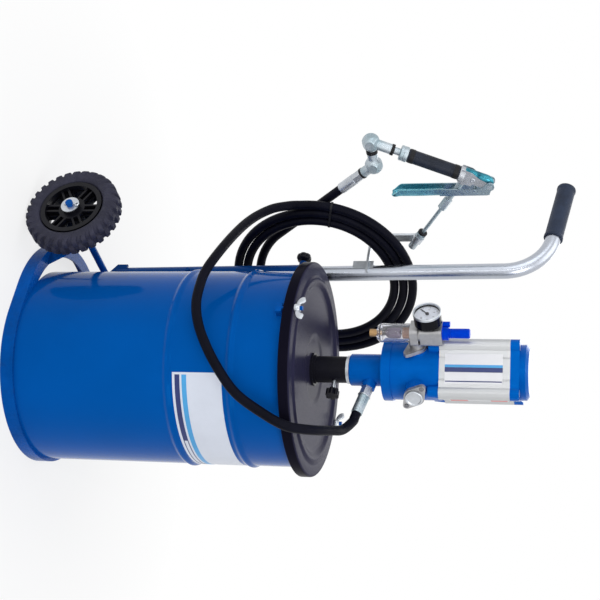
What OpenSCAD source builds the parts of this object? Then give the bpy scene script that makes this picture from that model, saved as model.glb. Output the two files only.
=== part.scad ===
// Air driven grease pump on a drum with a wheeled base, a hose and a hand gun
// Millimetres. Z is up, the origin is on the floor under the drum axis, Y points to the wheels

/* [Drum] */
// Outer radius of the drum wall
drum_r = 185; // [170:1:186]
// Height of the drum from its bottom edge to its rim
drum_h = 527; // [520:1:528]
// Thickness of the drum wall
drum_wall = 1.5; // [1:0.1:2]
// Place of the lower rolling bead, as a share of the drum's height
bead_low_share = 0.5685; // [0.45:0.0005:0.62]
// Place of the upper rolling bead, as a share of the drum's height
bead_high_share = 0.7934; // [0.72:0.0002:0.83]
// How far the rolling beads stand out
bead_rise = 4; // [2:0.5:5]
// Width of each rolling bead
bead_w = 18; // [12:1:24]
// Diameter of the rolled rim
rim_roll = 8; // [6:0.5:9]
// Height of the drum floor above the drum's bottom edge
floor_rise = 8; // [5:0.5:10]

/* [Base frame and axle] */
// Height of the base ring, on which the drum stands
hoop_h = 25.4; // [24:0.1:27]
// Width of the base ring's flat leg
hoop_leg = 25; // [20:1:30]
// Steel thickness of the base ring
hoop_t = 3; // [2:0.5:5]
// How far the base ring stands outside the drum wall
hoop_margin = 6; // [4:0.5:8]
// How far the base ring is drawn out to the rear
hoop_reach = 60; // [50:1:65]
// How far the axle lies behind the drum wall
axle_behind = 15; // [14:1:17]
// Radius of the axle
axle_r = 7; // [5:0.5:8]
// Distance of the two axle brackets from the middle, as a share of the drum's radius
bracket_share = 0.81; // [0.75:0.01:0.85]
// Thickness of the axle brackets
bracket_t = 5; // [3:0.5:8]

/* [Wheels] */
// Radius of the tyre over its lugs
tyre_r = 92.5; // [91:0.5:94]
// Width of the tyre
tyre_w = 42; // [34:1:44]
// Height of the tread lugs
lug_h = 5.5; // [3:0.5:7]
// Number of lugs on each half of the tread
lug_count = 30; // [20:1:36]
// Radius of the plastic rim, which carries the tyre
rim_r = 61; // [54:1:66]
// Width of the plastic rim
rim_w = 36; // [28:1:38]
// How far the middle of each wheel stands outside the drum wall
wheel_out = 46; // [43:1:55]
// Length of the wheel boss on the axle
boss_len = 42; // [38:1:46]

/* [Column and handle] */
// Radius of the column tube
column_r = 18.5; // [18:0.5:20]
// Length of the column tube
column_h = 425.6; // [400:1:430]
// How far the column leans back, in degrees
lean = 0.95; // [0.5:0.05:1.2]
// Radius of the handle tube
handle_r = 15; // [12:0.5:15]
// Wall of the handle tube
handle_wall = 2; // [1.5:0.5:3]
// Height of the handle tube's lower end above the foot of the column
handle_low = 160; // [140:1:180]
// Height at which the handle tube starts to bend
handle_top = 791.6; // [780:1:810]
// Radius of the handle bend
bend_r = 92; // [80:1:100]
// How far the handle bends over, in degrees
bend_angle = 79.55; // [70:0.05:88]
// Radius of the rubber grip
grip_r = 17.75; // [17.5:0.25:20]
// Length of the rubber grip
grip_len = 131; // [110:1:140]

/* [Lid] */
// How far the lid's skirt stands outside the drum wall
lid_out = 17.7; // [17.5:0.1:18]
// Thickness of the lid sheet
lid_t = 2; // [1:0.5:2.5]
// Depth of the lid's skirt
skirt_h = 20; // [18:0.5:28]
// Thickness of the rubber ring between drum and lid
gasket_t = 3; // [2:0.5:4]
// Radius of the lid studs
stud_r = 4; // [3:0.5:4]
// Distance of the lid studs inside the lid's skirt
stud_in = 4.5; // [4.4:0.1:4.8]

/* [Pump] */
// Outer radius of the suction tube
tube_r = 21; // [19:0.5:22]
// Wall of the suction tube
tube_wall = 4; // [3:0.5:5]
// Height of the suction tube's inlet above the floor
inlet_z = 40; // [38:1:44]
// Radius of the sleeve that holds the suction tube
sleeve_r = 25; // [25:0.5:28]
// Height of the sleeve above the lid
sleeve_h = 62.6; // [50:0.2:64]
// Height of the clamp collar on the suction tube
collar_h = 6; // [4:0.5:8]
// Radius of the grease outlet body
body_r = 30; // [28:1:34]
// Height of the grease outlet body
body_h = 66; // [60:1:68]
// Radius of the air valve housing
housing_r = 54; // [50:0.5:54]
// Height of the air valve housing
housing_h = 107; // [104:1:114]
// Width of the air motor over its corner lobes
motor_w = 111; // [110:1:114]
// Length of the air motor cylinder
motor_h = 128; // [120:1:140]
// Bore radius of the air motor
motor_bore = 45; // [40:0.5:46]
// Height of the top cap's plate
cap_h = 16.5; // [16:0.5:24]
// Turn of the square air motor about its axis, in degrees
motor_turn = 27.5; // [24:0.5:32]
// Radius of the piston rod
rod_r = 7; // [5:0.5:8]
// Direction of the air inlet round the pump, in degrees
inlet_az = 165.4; // [162:0.2:168]
// Direction of the exhaust round the pump, in degrees
exhaust_az = 253; // [251:0.5:256]

/* [Air unit] */
// Distance of the filter and regulator from the pump axis
unit_at = 92; // [91.9:0.1:93]
// Width of the regulator body
unit_w = 36; // [34:1:38]
// Height of the regulator body
unit_h = 58; // [50:1:60]
// Radius of the filter bowl
bowl_r = 17.5; // [16:0.5:17.5]
// Radius of the pressure gauge
gauge_r = 25; // [20:0.5:26]
// Depth of the pressure gauge case
gauge_d = 29; // [20:1:32]

/* [Hose] */
// Radius of the grease hose
hose_r = 9; // [7:0.25:9]
// Radius of the outermost hose loop
coil_r = 190; // [188:1:194]
// Distance between neighbouring loops
coil_pitch = 18.6; // [18.6:0.1:19]
// Radius of the crimped hose ends
ferrule_r = 10.8; // [9.5:0.1:11]

/* [Grease gun] */
// Lean of the gun's axis from upright, in degrees
gun_a = 24.6; // [22:0.1:27]
// Distance from the upper elbow to the lever's pin
gun_len = 238; // [236:1:242]
// Radius of the rubber grip on the gun
gun_grip_r = 13.5; // [11:0.5:14]
// Width across flats of the swivel elbows
elbow_af = 30; // [27:1:31]
// Length of the squeeze lever
lever_len = 186; // [170:1:190]
// Sheet thickness of the squeeze lever
lever_t = 2.5; // [1.5:0.25:3]
// Radius of the grease coupler
coupler_r = 7.8; // [6:0.1:7.8]
// Radius of the coupler's bore
coupler_bore = 3.3; // [2:0.1:4]

/* [Hidden] */
$fn = 64;

// Overrun of every cut
cut = 1;
// Radial clearance of a running or push fit
fit = 0.05;
// Clearance of a piece that lies against a curved or moving one
gap = 0.3;

// Heights that stack up from the floor
axle_z = tyre_r;
floor_z = hoop_h + floor_rise;
rim_z = hoop_h + drum_h;
lid_z = rim_z + gasket_t + lid_t;
sleeve_z = lid_z + sleeve_h;
body_z = sleeve_z + collar_h;
housing_z = body_z + body_h;
motor_z = housing_z + housing_h;
cap_z = motor_z + motor_h;

// Drum details
bead_steps = 12;
rim_steps = 16;

// Base ring and axle details
hoop_r = drum_r + hoop_margin;
axle_y = drum_r + axle_behind;
bracket_x = drum_r * bracket_share;
bracket_head = 13;
bracket_inset = 5;
bracket_from = hoop_reach + sqrt(pow(hoop_r - hoop_leg, 2) - pow(bracket_x, 2)) + bracket_inset;
bracket_to = hoop_reach + sqrt(pow(hoop_r, 2) - pow(bracket_x, 2)) - bracket_inset;
track_half = drum_r + wheel_out;
hub_face = track_half + boss_len / 2;
washer_r = 18;
washer_t = 2;
pin_r = 1.6;
pin_out = 11;
pin_eye = 3.6;
pin_place = washer_t + pin_r + 2 * gap;
axle_end = hub_face + pin_place + pin_r + 2 * washer_t;

// Wheel details
hub_wall = 9;
web_t = 5;
boss_r = 17;
spoke_count = 6;
rib_t = 4;
rib_spread = 13;
boss_flange_r = 26;
window_edge = 2;
lug_share = 0.52;

// Column details
foot_behind = 20;
foot_y = axle_y + foot_behind;
foot_rise = 12;
foot_z = axle_z + foot_rise;
lug_x = 15;
lug_t = 5;
lug_r = 13;
lug_len = 22;
standoff_z = [200, 500];
standoff_w = 20;
stop_r = 4;
knob_z = 389.6;
knob_boss_r = 8;
knob_boss_len = 10;
knob_stud_r = 4;

// Star knob details
knob_r = 17;
knob_t = 15;
knob_lobes = 6;
small_knob_r = 13;
small_knob_t = 13;
clamp_stud_r = 3.5;
clamp_rise = 39.6;
clamp_reach = 46;

// Lid details
lid_r = drum_r + lid_out;
stud_at = lid_r - lid_t - stud_in;
lid_bead_in = 19;
lid_bead_r = drum_r - lid_bead_in;
lid_bead_w = 12;
lid_bead_h = 3;
lid_dish = 3;
lid_well_r = 58;
lid_well_d = 5;
lid_hole = 27;
stud_room = 0.3;
stud_foot_h = 12;
stud_foot_w = 18;
stud_rise = 15;
skirt_room = 3;
nut_hub_r = 8;
nut_hub_h = 12;
wing_r = 6.5;
wing_span = 14;
wing_rise = 16;
wing_t = 4;
flange_r = 31;
flange_t = 4;
neck_h = 8;

// Pump details
valve_len = 20;
spigot_len = 15;
ball_r = 8;
valve_port = 6;
plunger_r = 16.5;
plunger_h = 24;
plunger_z = 110;
bevel = 2;
collar_out = 1.5;
gland_h = 12;
base_flange_r = 56.5;
base_flange_h = 17;
bolt_at = 42;
bolt_r = 4;
lobe_r = 12.5;
lug_foot_r = 10.5;
lug_head_r = 12.25;
groove_at = 20;
face_sink = 4;
groove_w = 3;
groove_d = 2.5;
lug_low = 20;
bolt_head_af = 13;
bolt_head_h = 8;
piston_h = 16;
piston_seal_h = 3.2;
piston_seal_d = 3;
piston_lift = 2;
stroke = 75;
rod_nut_af = 22;
rod_nut_h = 10;
dome_r = 51;
dome_h = 15;
dome_round = 8;
bolt_pocket_r = 8;

// Grease outlet details
outlet_drop = 14.3;
outlet_up = 46.4;
outlet_boss_r = 13;
outlet_boss_end = 41;
outlet_nut_end = 58;
outlet_end = 98;
outlet_nut_af = 19;

// Air port details
port_down = 42;
port_z = housing_h - port_down;
port_r = 17;
port_ear_r = 7;
port_ear_at = 25;
port_tilt = 38;
port_face = 56;
pad_out = 1;
port_t = 7;
nipple_r = 13.5;
exhaust_down = 43.5;
exhaust_z = housing_h - exhaust_down;
exhaust_r = 19;
exhaust_face = 69;
muffler_r = 16;
muffler_out = 79;

// Air unit details
unit_drop = 8;
unit_z = port_z - unit_drop;
unit_round = 6;
slot_h = 4;
slot_d = 3;
air_hole_r = 5.9;
air_hole_d = 12;
air_hole_z = 29;
boss_out = 2;
flute_count = 12;
flute_r = 1;
bonnet_r = 12.5;
bonnet_h = 11;
bonnet_ring_h = 4;
spindle_r = 3;
spindle_h = 14;
reg_knob_r = 9;
reg_knob_h = 34;
bowl_h = 61;
bowl_wall = 2.5;
element_r = 8.5;
element_h = 32;
drain_r = 7;
drain_h = 14;
drain_stem_r = 4;
side_cap_r = 5.2;
side_cap_h = 13;
side_cap_x = 11.6;
side_cap_y = -11.6;
gauge_z = 34;
gauge_stem = 4;
gauge_stem_r = 6;
gauge_rim = 2;
gauge_well = 8;
lens_t = 1.5;
needle_len = 17;
needle_w = 1.6;
needle_t = 0.8;
needle_pin_r = 1.2;

// Follower details
follower_t = 3;
wiper_gap = 0.3;
wiper_h = 18;
wiper_t = 4;
follower_hub_r = 30;
follower_hub_h = 33;

// The stored hose and gun hang in an upright plane that is turned a little from the axle
store_behind = 48;
store_y = foot_y + store_behind;
store_turn = 14;
coil_u = 60;
coil_z = 522;
coil_from = 180;
coil_turns = 2.8975;
coil_shift_at = 2.6;
coil_squeeze = 6.5;
coil_rings = 24;
coil_sides = 6;
gun_v = 24;
elbow_low = [-204, 658];
elbow_high = [-255.5, 659];
tail_a = 143.13;
ferrule_far = 88;
ferrule_near = 52;
tail_nut_near = 32;
neck_r = 10;
neck_end = 28;
seal_r = 11;
seal_core = 7;
elbow_len = 14.8;
elbow_ball = 17.5;
elbow_seal_w = 8;

// Gun details, as distances along the gun's axis from the upper elbow
gun_neck_end = 40;
gun_seal_end = 46;
ring_nut_near = 56;
ring_nut_far = 80;
ring_nut_r = 15.5;
thread_r = 7;
inlet_tube_r = 8;
grip_near = 82;
collar_near = 176;
gun_collar_r = 15;
gun_collar_h = 10;
block_near = 184;
block_far = 228;
block_half = 13;
block_side = 9;
ear_half = 8;
ear_past = 9;
outlet_s = 191;
stem_s = 216;
stem_r = 2.5;
stem_in = 2;
stem_out = 16.7;
stem_room = 9;
bar_slot_near = 207.6;
bar_slot_far = 219;
bar_slot_d = 3.2;
screw_s = 204;
screw_r = 4.5;
screw_h = 2;
gun_pin_r = 3;
gun_pin_head_r = 5;
gun_pin_head_t = 2;

// Gun outlet details, as distances along the outlet's axis from the gun's axis
outlet_a = 126.1;
outlet_seat = 20;
outlet_boss = 8;
outlet_tube_r = 6;
outlet_hex_near = 66;
outlet_hex_far = 92;
outlet_hex_af = 15;
pipe_r = 3.75;
coupler_near = 166;
coupler_far = 208;
coupler_collar_near = 170;
coupler_collar_far = 176;
coupler_collar_r = 9.3;
coupler_bore_d = 8;

// Lever details
lever_half = 11.9;
lever_front = 4.5;
lever_back = 19;
lever_head = 9;
window_low = 90.4;
window_high = 13.4;
lever_curl_r = 5;
bar_r = 3;
bar_p = 20;
bar_back = 22.2;

// Hanger details
hanger_w = 20;
hanger_t = 5;
hanger_x = -22;
hanger_z = 627.6;
hanger_ring_r = 10.5;
hanger_ring_gap = 0.5;
hanger_ring_len = 14;
hanger_pad_low = 600;
hanger_pad_h = 41;
hanger_pad_t = 20;

// Route of the hose from the pump's outlet round the drum to the stored loops
lead_route = [[0, -113, 643.5], [-14, -139, 631], [-42, -158, 618], [-84, -183, 592],
    [-112, -192, 552], [-134, -174, 503], [-153, -154, 466], [-173, -126, 438], [-195, -88, 411],
    [-210, -46, 390], [-219, -4, 380], [-222, 41, 381], [-223, 66, 386], [-221, 92, 394],
    [-210, 134, 405], [-193, 178, 415], [-175, 218, 426], [-158, 251, 440], [-143, 278, 460],
    [-129, 296, 484]];
// Drum radius for which the route's points are given
route_r = 185;
lead_steps = 3;
lead_sides = 8;

// Colours
blue = [0.03, 0.27, 0.66];
dark_blue = [0.02, 0.12, 0.36];
black = [0.06, 0.06, 0.07];
grey = [0.22, 0.22, 0.25];
zinc = [0.72, 0.74, 0.78];
brass = [0.72, 0.55, 0.25];
alloy = [0.8, 0.81, 0.83];

// Points and unit vectors
function unit(a) = a / norm(a);
function lerp(a, b, t) = a + (b - a) * t;
function smooth(t) = let (x = min(max(t, 0), 1)) x * x * (3 - 2 * x);
// A point of the gun's plane, at distance s along its axis and p across it
function gun_pt(s, p) = elbow_high + [s * sin(gun_a) + p * cos(gun_a), s * cos(gun_a) - p * sin(gun_a)];
function outlet_pt(t) = gun_pt(outlet_s, 0) + t * [sin(outlet_a), cos(outlet_a)];
// A point of the store frame, in the part's own frame
function store_xyz(u, v, z) = [u * cos(store_turn) + v * sin(store_turn),
    store_y - u * sin(store_turn) + v * cos(store_turn), z];

// Frames that carry pieces
module store() translate([0, store_y, 0]) rotate([0, 0, -store_turn]) children();
module at_gun(p, a) store() translate([p[0], gun_v, p[1]]) rotate([0, a, 0]) children();
module on_gun() at_gun(elbow_high, gun_a) children();
module on_outlet() at_gun(gun_pt(outlet_s, 0), outlet_a) children();
module on_column() translate([0, foot_y, foot_z]) rotate([-lean, 0, 0]) children();
module on_grip() on_column()
    translate([0, bend_r * (1 - cos(bend_angle)), handle_top + bend_r * sin(bend_angle)])
    rotate([-bend_angle, 0, 0]) children();
module on_side(side) translate([0, axle_y, axle_z]) rotate([0, 90 * side, 0]) children();
module on_unit() rotate([0, 0, inlet_az]) translate([unit_at, 0, housing_z + unit_z]) children();
module on_gauge() on_unit() translate([unit_w / 2, 0, gauge_z]) rotate([0, 90, 0]) children();
module on_port(az, z) rotate([0, 0, az]) translate([0, 0, housing_z + z]) rotate([0, 90, 0]) children();
module on_pump_outlet() translate([0, 0, body_z + outlet_up]) rotate([90 + outlet_drop, 0, 0]) children();

// Building blocks
module ring(r_out, r_in, h) difference() {
    cylinder(r = r_out, h = h);
    translate([0, 0, -cut]) cylinder(r = r_in, h = h + 2 * cut);
}
module hex(af, h) cylinder(r = af / 2 / cos(30), h = h, $fn = 6);
module plate_yz(x, t) translate([x - t / 2, 0, 0]) rotate([90, 0, 90]) linear_extrude(t) children();
// Outline of two round ends joined by their tangents
module link(r1, r2, d) {
    a = acos((r1 - r2) / d);
    s1 = (r1 - fit) * [cos(a), sin(a)];
    s2 = (r2 - fit) * [cos(a), sin(a)];
    circle(r1);
    translate([d, 0]) circle(r2);
    polygon([s1, [d + s2[0], s2[1]], [d + s2[0], -s2[1]], [s1[0], -s1[1]]]);
}
module oval(r) {
    circle(r);
    translate([0, hoop_reach]) circle(r);
    translate([-r, 0]) square([2 * r, hoop_reach]);
}
// A knob with round lobes, standing on its stud along Z
module star_knob(r, t, stud, stud_len) {
    lobe = r / 3;
    cylinder(r = stud, h = stud_len + t / 2);
    translate([0, 0, stud_len]) {
        cylinder(r = r - lobe, h = t);
        for (i = [0 : knob_lobes - 1]) rotate([0, 0, 360 / knob_lobes * i]) translate([r - lobe, 0, 0])
            cylinder(r = lobe, h = t);
        translate([0, 0, -t / 4]) cylinder(r = r / 2, h = t);
    }
}
// A tube swept along points, with its cross section carried along without twist
module sweep(points, r, sides, first) {
    n = len(points);
    t = [for (i = [0 : n - 1]) unit(points[min(i + 1, n - 1)] - points[max(i - 1, 0)])];
    across = [for (i = 0, a = unit(first - t[0] * (first * t[0])); i < n; i = i + 1,
        a = i < n ? unit(a - t[i] * (a * t[i])) : a) a];
    verts = [for (i = [0 : n - 1]) for (k = [0 : sides - 1])
        points[i] + r * (across[i] * cos(360 * k / sides) + cross(t[i], across[i]) * sin(360 * k / sides))];
    walls = [for (i = [0 : n - 2]) for (k = [0 : sides - 1])
        let (a = i * sides + k, b = i * sides + (k + 1) % sides) each [[a, a + sides, b], [b, a + sides, b + sides]]];
    first_cap = [for (k = [1 : sides - 2]) [0, k, k + 1]];
    last_cap = [for (k = [1 : sides - 2]) let (e = (n - 1) * sides) [e, e + k + 1, e + k]];
    polyhedron(verts, concat(walls, first_cap, last_cap));
}

// Drum
function bead_out(z, mid) = bead_rise * (1 + cos(360 * (z - mid) / bead_w)) / 2;
function bead_points(mid, r) = [for (i = [0 : bead_steps])
    let (z = mid - bead_w / 2 + bead_w * i / bead_steps) [r + bead_out(z, mid), z]];
module drum_shell() color(blue) {
    in_r = drum_r - drum_wall;
    low = hoop_h + bead_low_share * drum_h;
    high = hoop_h + bead_high_share * drum_h;
    curl = rim_roll / 2;
    rotate_extrude($fn = 128) polygon(concat(
        [[in_r, hoop_h], [drum_r, hoop_h]],
        bead_points(low, drum_r), bead_points(high, drum_r),
        [[drum_r, rim_z - curl - sqrt(pow(curl, 2) - pow(in_r + curl - drum_r, 2))]],
        [for (i = [-rim_steps * 3 / 8 : rim_steps / 2 - 1]) let (a = 360 * (i + 0.5) / rim_steps)
            [in_r + curl + curl * cos(a), rim_z - curl + curl * sin(a) / cos(180 / rim_steps)]],
        [[in_r, rim_z - curl]],
        [for (p = bead_points(high, in_r)) [p[0], 2 * high - p[1]]],
        [for (p = bead_points(low, in_r)) [p[0], 2 * low - p[1]]]));
    translate([0, 0, floor_z]) cylinder(r = in_r + drum_wall / 2, h = drum_wall, $fn = 128);
}

// Base frame
module bracket_outline() difference() {
    union() {
        rise = [axle_y - (bracket_from + bracket_to) / 2, axle_z - hoop_h];
        side = bracket_head * [rise[1], -rise[0]] / norm(rise);
        head = [axle_y, axle_z];
        translate(head) circle(bracket_head);
        polygon([[bracket_from, hoop_h - hoop_t / 2], [bracket_to, hoop_h - hoop_t / 2], head + side, head - side]);
    }
    translate([axle_y, axle_z]) circle(axle_r + fit);
}
module base_frame() color(blue) {
    linear_extrude(hoop_h) difference() {
        oval(hoop_r, $fn = 128);
        oval(hoop_r - hoop_t, $fn = 128);
    }
    translate([0, 0, hoop_h - hoop_t]) linear_extrude(hoop_t) difference() {
        oval(hoop_r - hoop_t / 2, $fn = 128);
        oval(hoop_r - hoop_leg, $fn = 128);
    }
    for (side = [-1, 1]) plate_yz(side * bracket_x, bracket_t) bracket_outline();
}
module pin_holes() for (side = [-1, 1]) for (x = [hub_face + pin_place, hub_face - boss_len - pin_place])
    translate([side * x, axle_y, axle_z]) children();
module axle_rod() color(zinc) difference() {
    translate([-axle_end, axle_y, axle_z]) rotate([0, 90, 0]) cylinder(r = axle_r, h = 2 * axle_end);
    pin_holes() translate([0, 0, -2 * axle_r]) cylinder(r = pin_r + fit, h = 4 * axle_r);
}
module wheel_washers() color(zinc) for (side = [-1, 1])
    for (z = [hub_face + gap, hub_face - boss_len - gap - washer_t]) on_side(side)
        translate([0, 0, z]) ring(washer_r, axle_r + fit, washer_t);
module cotter_pins() color(zinc) pin_holes() {
    translate([0, 0, -pin_out]) cylinder(r = pin_r, h = 2 * pin_out + pin_r);
    translate([0, 0, pin_out + pin_eye]) rotate([0, 90, 0])
        rotate_extrude() translate([pin_eye, 0]) circle(pin_r, $fn = 24);
}

// Wheels
module tread(turn) intersection() {
    half = 360 / lug_count * lug_share / 2;
    rotate([0, 0, turn]) translate([0, 0, -cut]) linear_extrude(tyre_w)
        polygon([for (i = [0 : lug_count - 1]) for (k = [-1, 1]) for (e = [0, 1])
            let (high = k < 0 ? e == 1 : e == 0, a = 360 / lug_count * i + half * k)
        (high ? tyre_r + cut : rim_r + hub_wall) * [cos(a), sin(a)]]);
    rotate_extrude($fn = 128) polygon([[rim_r + hub_wall / 2, -cut], [tyre_r, -cut], [tyre_r, tyre_w / 4],
        [tyre_r - lug_h / 2, tyre_w * 3 / 8], [tyre_r - 2 * lug_h, tyre_w / 2], [rim_r + 3 / 2 * hub_wall, tyre_w / 2],
        [rim_r + hub_wall / 2, rim_w / 2]]);
}
module tyre() {
    shoulder = tyre_r - lug_h;
    bead = rim_w / 2;
    difference() {
        union() {
            rotate_extrude($fn = 128) polygon([[rim_r + fit, -bead], [rim_r + hub_wall, -tyre_w / 2],
                [shoulder - lug_h, -tyre_w / 2 + 1.2 * lug_h / 2], [shoulder, -tyre_w / 4], [shoulder, tyre_w / 4],
                [shoulder - lug_h, tyre_w / 2 - 1.2 * lug_h / 2], [rim_r + hub_wall, tyre_w / 2], [rim_r + fit, bead]]);
            tread(0);
            mirror([0, 0, 1]) tread(180 / lug_count);
        }
        translate([0, 0, -tyre_w]) cylinder(r = rim_r + fit, h = 2 * tyre_w, $fn = 128);
    }
}
module wheel_hub() difference() {
    union() {
        translate([0, 0, -rim_w / 2]) ring(rim_r, rim_r - hub_wall, rim_w);
        translate([0, 0, -web_t / 2]) cylinder(r = rim_r - hub_wall / 2, h = web_t);
        translate([0, 0, -boss_len / 2]) cylinder(r = boss_r, h = boss_len);
        translate([0, 0, -rim_w / 2 + web_t]) cylinder(r = boss_flange_r, h = rim_w - 2 * web_t);
        for (i = [0 : spoke_count - 1]) for (s = [-1, 1]) rotate([0, 0, 360 / spoke_count * i])
            translate([boss_r / 2, s * rib_spread / 2 - rib_t / 2, -rim_w / 2 + web_t])
                cube([rim_r - hub_wall / 2 - boss_r / 2, rib_t, rim_w - 2 * web_t]);
    }
    for (i = [0 : spoke_count - 1]) rotate([0, 0, 360 / spoke_count * (i + 1 / 2)]) translate([0, 0, -web_t])
        linear_extrude(2 * web_t) intersection() {
            difference() {
                circle(rim_r - hub_wall - window_edge);
                circle(boss_flange_r + window_edge);
            }
            polygon([[boss_r, 0], [rim_r, -rim_r * tan(90 / spoke_count)], [rim_r, rim_r * tan(90 / spoke_count)]]);
        }
    translate([0, 0, -boss_len]) cylinder(r = axle_r + fit, h = 2 * boss_len);
}
module tyre_left() color(black) on_side(-1) translate([0, 0, track_half]) tyre();
module tyre_right() color(black) on_side(1) translate([0, 0, track_half]) tyre();
module hub_left() color(black) on_side(-1) translate([0, 0, track_half]) wheel_hub();
module hub_right() color(black) on_side(1) translate([0, 0, track_half]) wheel_hub();

// Column
module lug_outline() polygon([[axle_y - lug_r, axle_z], [foot_y - column_r, foot_z + lug_len],
    [foot_y + column_r, foot_z + lug_len], [foot_y + column_r, foot_z],
    [axle_y + lug_r * cos(45), axle_z - lug_r * sin(45)]]);
module column_tube() color(dark_blue) {
    difference() {
        union() {
            on_column() cylinder(r = column_r, h = column_h);
            for (side = [-1, 1]) plate_yz(side * lug_x, lug_t) {
                lug_outline();
                translate([axle_y, axle_z]) circle(lug_r);
            }
            for (z = standoff_z) translate([-standoff_w / 2, drum_r - drum_wall, z - standoff_w / 2])
                cube([standoff_w, foot_y - drum_r, standoff_w]);
            on_column() translate([0, 0, knob_z]) rotate([-90, 0, 0])
                cylinder(r = knob_boss_r, h = column_r + knob_boss_len);
        }
        on_column() translate([0, 0, -cut]) cylinder(r = handle_r + fit, h = column_h + 2 * cut);
        cylinder(r = drum_r + fit, h = lid_z, $fn = 128);
        translate([-2 * lug_x, axle_y, axle_z]) rotate([0, 90, 0]) cylinder(r = axle_r + fit, h = 4 * lug_x);
        on_column() translate([0, 0, knob_z]) rotate([-90, 0, 0])
            cylinder(r = knob_stud_r + fit, h = 2 * column_r + knob_boss_len);
    }
    on_column() translate([-column_r - stop_r, 0, handle_low - gap - stop_r]) rotate([0, 90, 0])
        cylinder(r = stop_r, h = 2 * (column_r + stop_r));
}
module handle_knob() color(black) on_column() translate([0, handle_r + gap, knob_z]) rotate([-90, 0, 0])
    star_knob(knob_r, knob_t, knob_stud_r, column_r - handle_r + knob_boss_len + knob_t / 2);

// Handle
module handle_run(r) {
    translate([0, 0, handle_low]) cylinder(r = r, h = handle_top - handle_low);
    translate([0, bend_r, handle_top]) rotate([90, 0, -90])
        rotate_extrude(angle = bend_angle) translate([bend_r, 0]) circle(r);
}
module handle_tube() color(zinc) difference() {
    union() {
        on_column() handle_run(handle_r);
        on_grip() translate([0, 0, -cut]) cylinder(r = handle_r - 2 * fit, h = grip_len - grip_r + cut);
    }
    on_column() handle_run(handle_r - handle_wall);
    on_column() translate([0, 0, handle_low - cut]) cylinder(r = handle_r - handle_wall, h = 2 * cut);
    on_grip() translate([0, 0, -2 * cut]) cylinder(r = handle_r - 2 * fit - handle_wall, h = grip_len);
}
module handle_grip() color(black) on_grip() difference() {
    flange_h = grip_r / 4;
    flange_out = grip_r + handle_wall / 2;
    rotate_extrude() polygon([[0, handle_wall], [flange_out, handle_wall], [flange_out, handle_wall + flange_h],
        [grip_r, handle_wall + 2 * flange_h], [grip_r, grip_len - 2 * flange_h], [flange_out, grip_len - flange_h * 3 / 2],
        [flange_out, grip_len - flange_h / 2], [grip_r, grip_len], [grip_r / 2, grip_len + flange_h / 2],
        [0, grip_len + flange_h / 2]]);
    translate([0, 0, -cut]) cylinder(r = handle_r + fit, h = grip_len - grip_r + cut + fit);
}

// Hanger for the coil and the gun
ring_t = coupler_collar_far + gap + hanger_ring_len / 2;
ring_uz = outlet_pt(ring_t);
ring_mid = store_xyz(ring_uz[0], gun_v, ring_uz[1]);
module hose_hanger() color(zinc) {
    upright_y = ring_mid[1] + coupler_r + gap;
    difference() {
        union() {
            translate([hanger_x, foot_y, hanger_z]) cube([hanger_w, upright_y + hanger_t - foot_y, hanger_t]);
            translate([hanger_x, upright_y, hanger_z]) cube([hanger_w, hanger_t, ring_mid[2] - hanger_z]);
            translate([-handle_r, foot_y + handle_r / 2, hanger_pad_low]) cube([handle_r, hanger_pad_t, hanger_pad_h]);
            on_outlet() translate([0, 0, ring_t - hanger_ring_len / 2]) cylinder(r = hanger_ring_r, h = hanger_ring_len);
        }
        on_column() cylinder(r = handle_r + fit, h = handle_top);
        on_outlet() translate([0, 0, ring_t - hanger_ring_len])
            cylinder(r = coupler_r + hanger_ring_gap, h = 2 * hanger_ring_len);
        translate([-hanger_w, foot_y - handle_r, hanger_pad_low - cut])
            cube([2 * hanger_w, handle_r, 2 * hanger_pad_h]);
    }
}

// Hose
function coil_radius(t) = coil_r - coil_pitch * t - coil_squeeze * smooth((t - coil_turns + 1 / 2) * 2);
function coil_point(t) = let (a = coil_from - 360 * t) [coil_u + coil_radius(t) * cos(a),
    gun_v * smooth((t - coil_shift_at) / (coil_turns - coil_shift_at)), coil_z + coil_radius(t) * sin(a)];
coil_end = coil_point(coil_turns);
tail_dir = [-sin(tail_a), -cos(tail_a)];
ferrule_end = elbow_low - (ferrule_far + gap) * tail_dir;
coil_path = concat([coil_point(0) - [0, 0, 2 * hose_r]],
    [for (i = [0 : floor(coil_turns * coil_rings)]) coil_point(i / coil_rings)],
    [coil_end, coil_end + 2 * hose_r * [tail_dir[0], 0, tail_dir[1]]]);
// Least gap between the loops, measured from ring to ring more than half a loop apart
coil_gaps = [for (i = [0 : len(coil_path) - 1]) for (j = [i + coil_rings / 2 : 1 : len(coil_path) - 1])
    norm(coil_path[i] - coil_path[j]) - 2 * hose_r];
echo(least_gap_between_loops = min(coil_gaps));
module hose_coil() color(black) store() sweep(coil_path, hose_r, coil_sides, [1, 0, 0]);
module hose_tail() color(black) {
    start = coil_path[len(coil_path) - 1];
    far = [ferrule_end[0], gun_v, ferrule_end[1]];
    way = far - start;
    store() translate(start) rotate([0, atan2(way[0], way[2]), 0]) cylinder(r = hose_r, h = norm(way));
}
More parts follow.
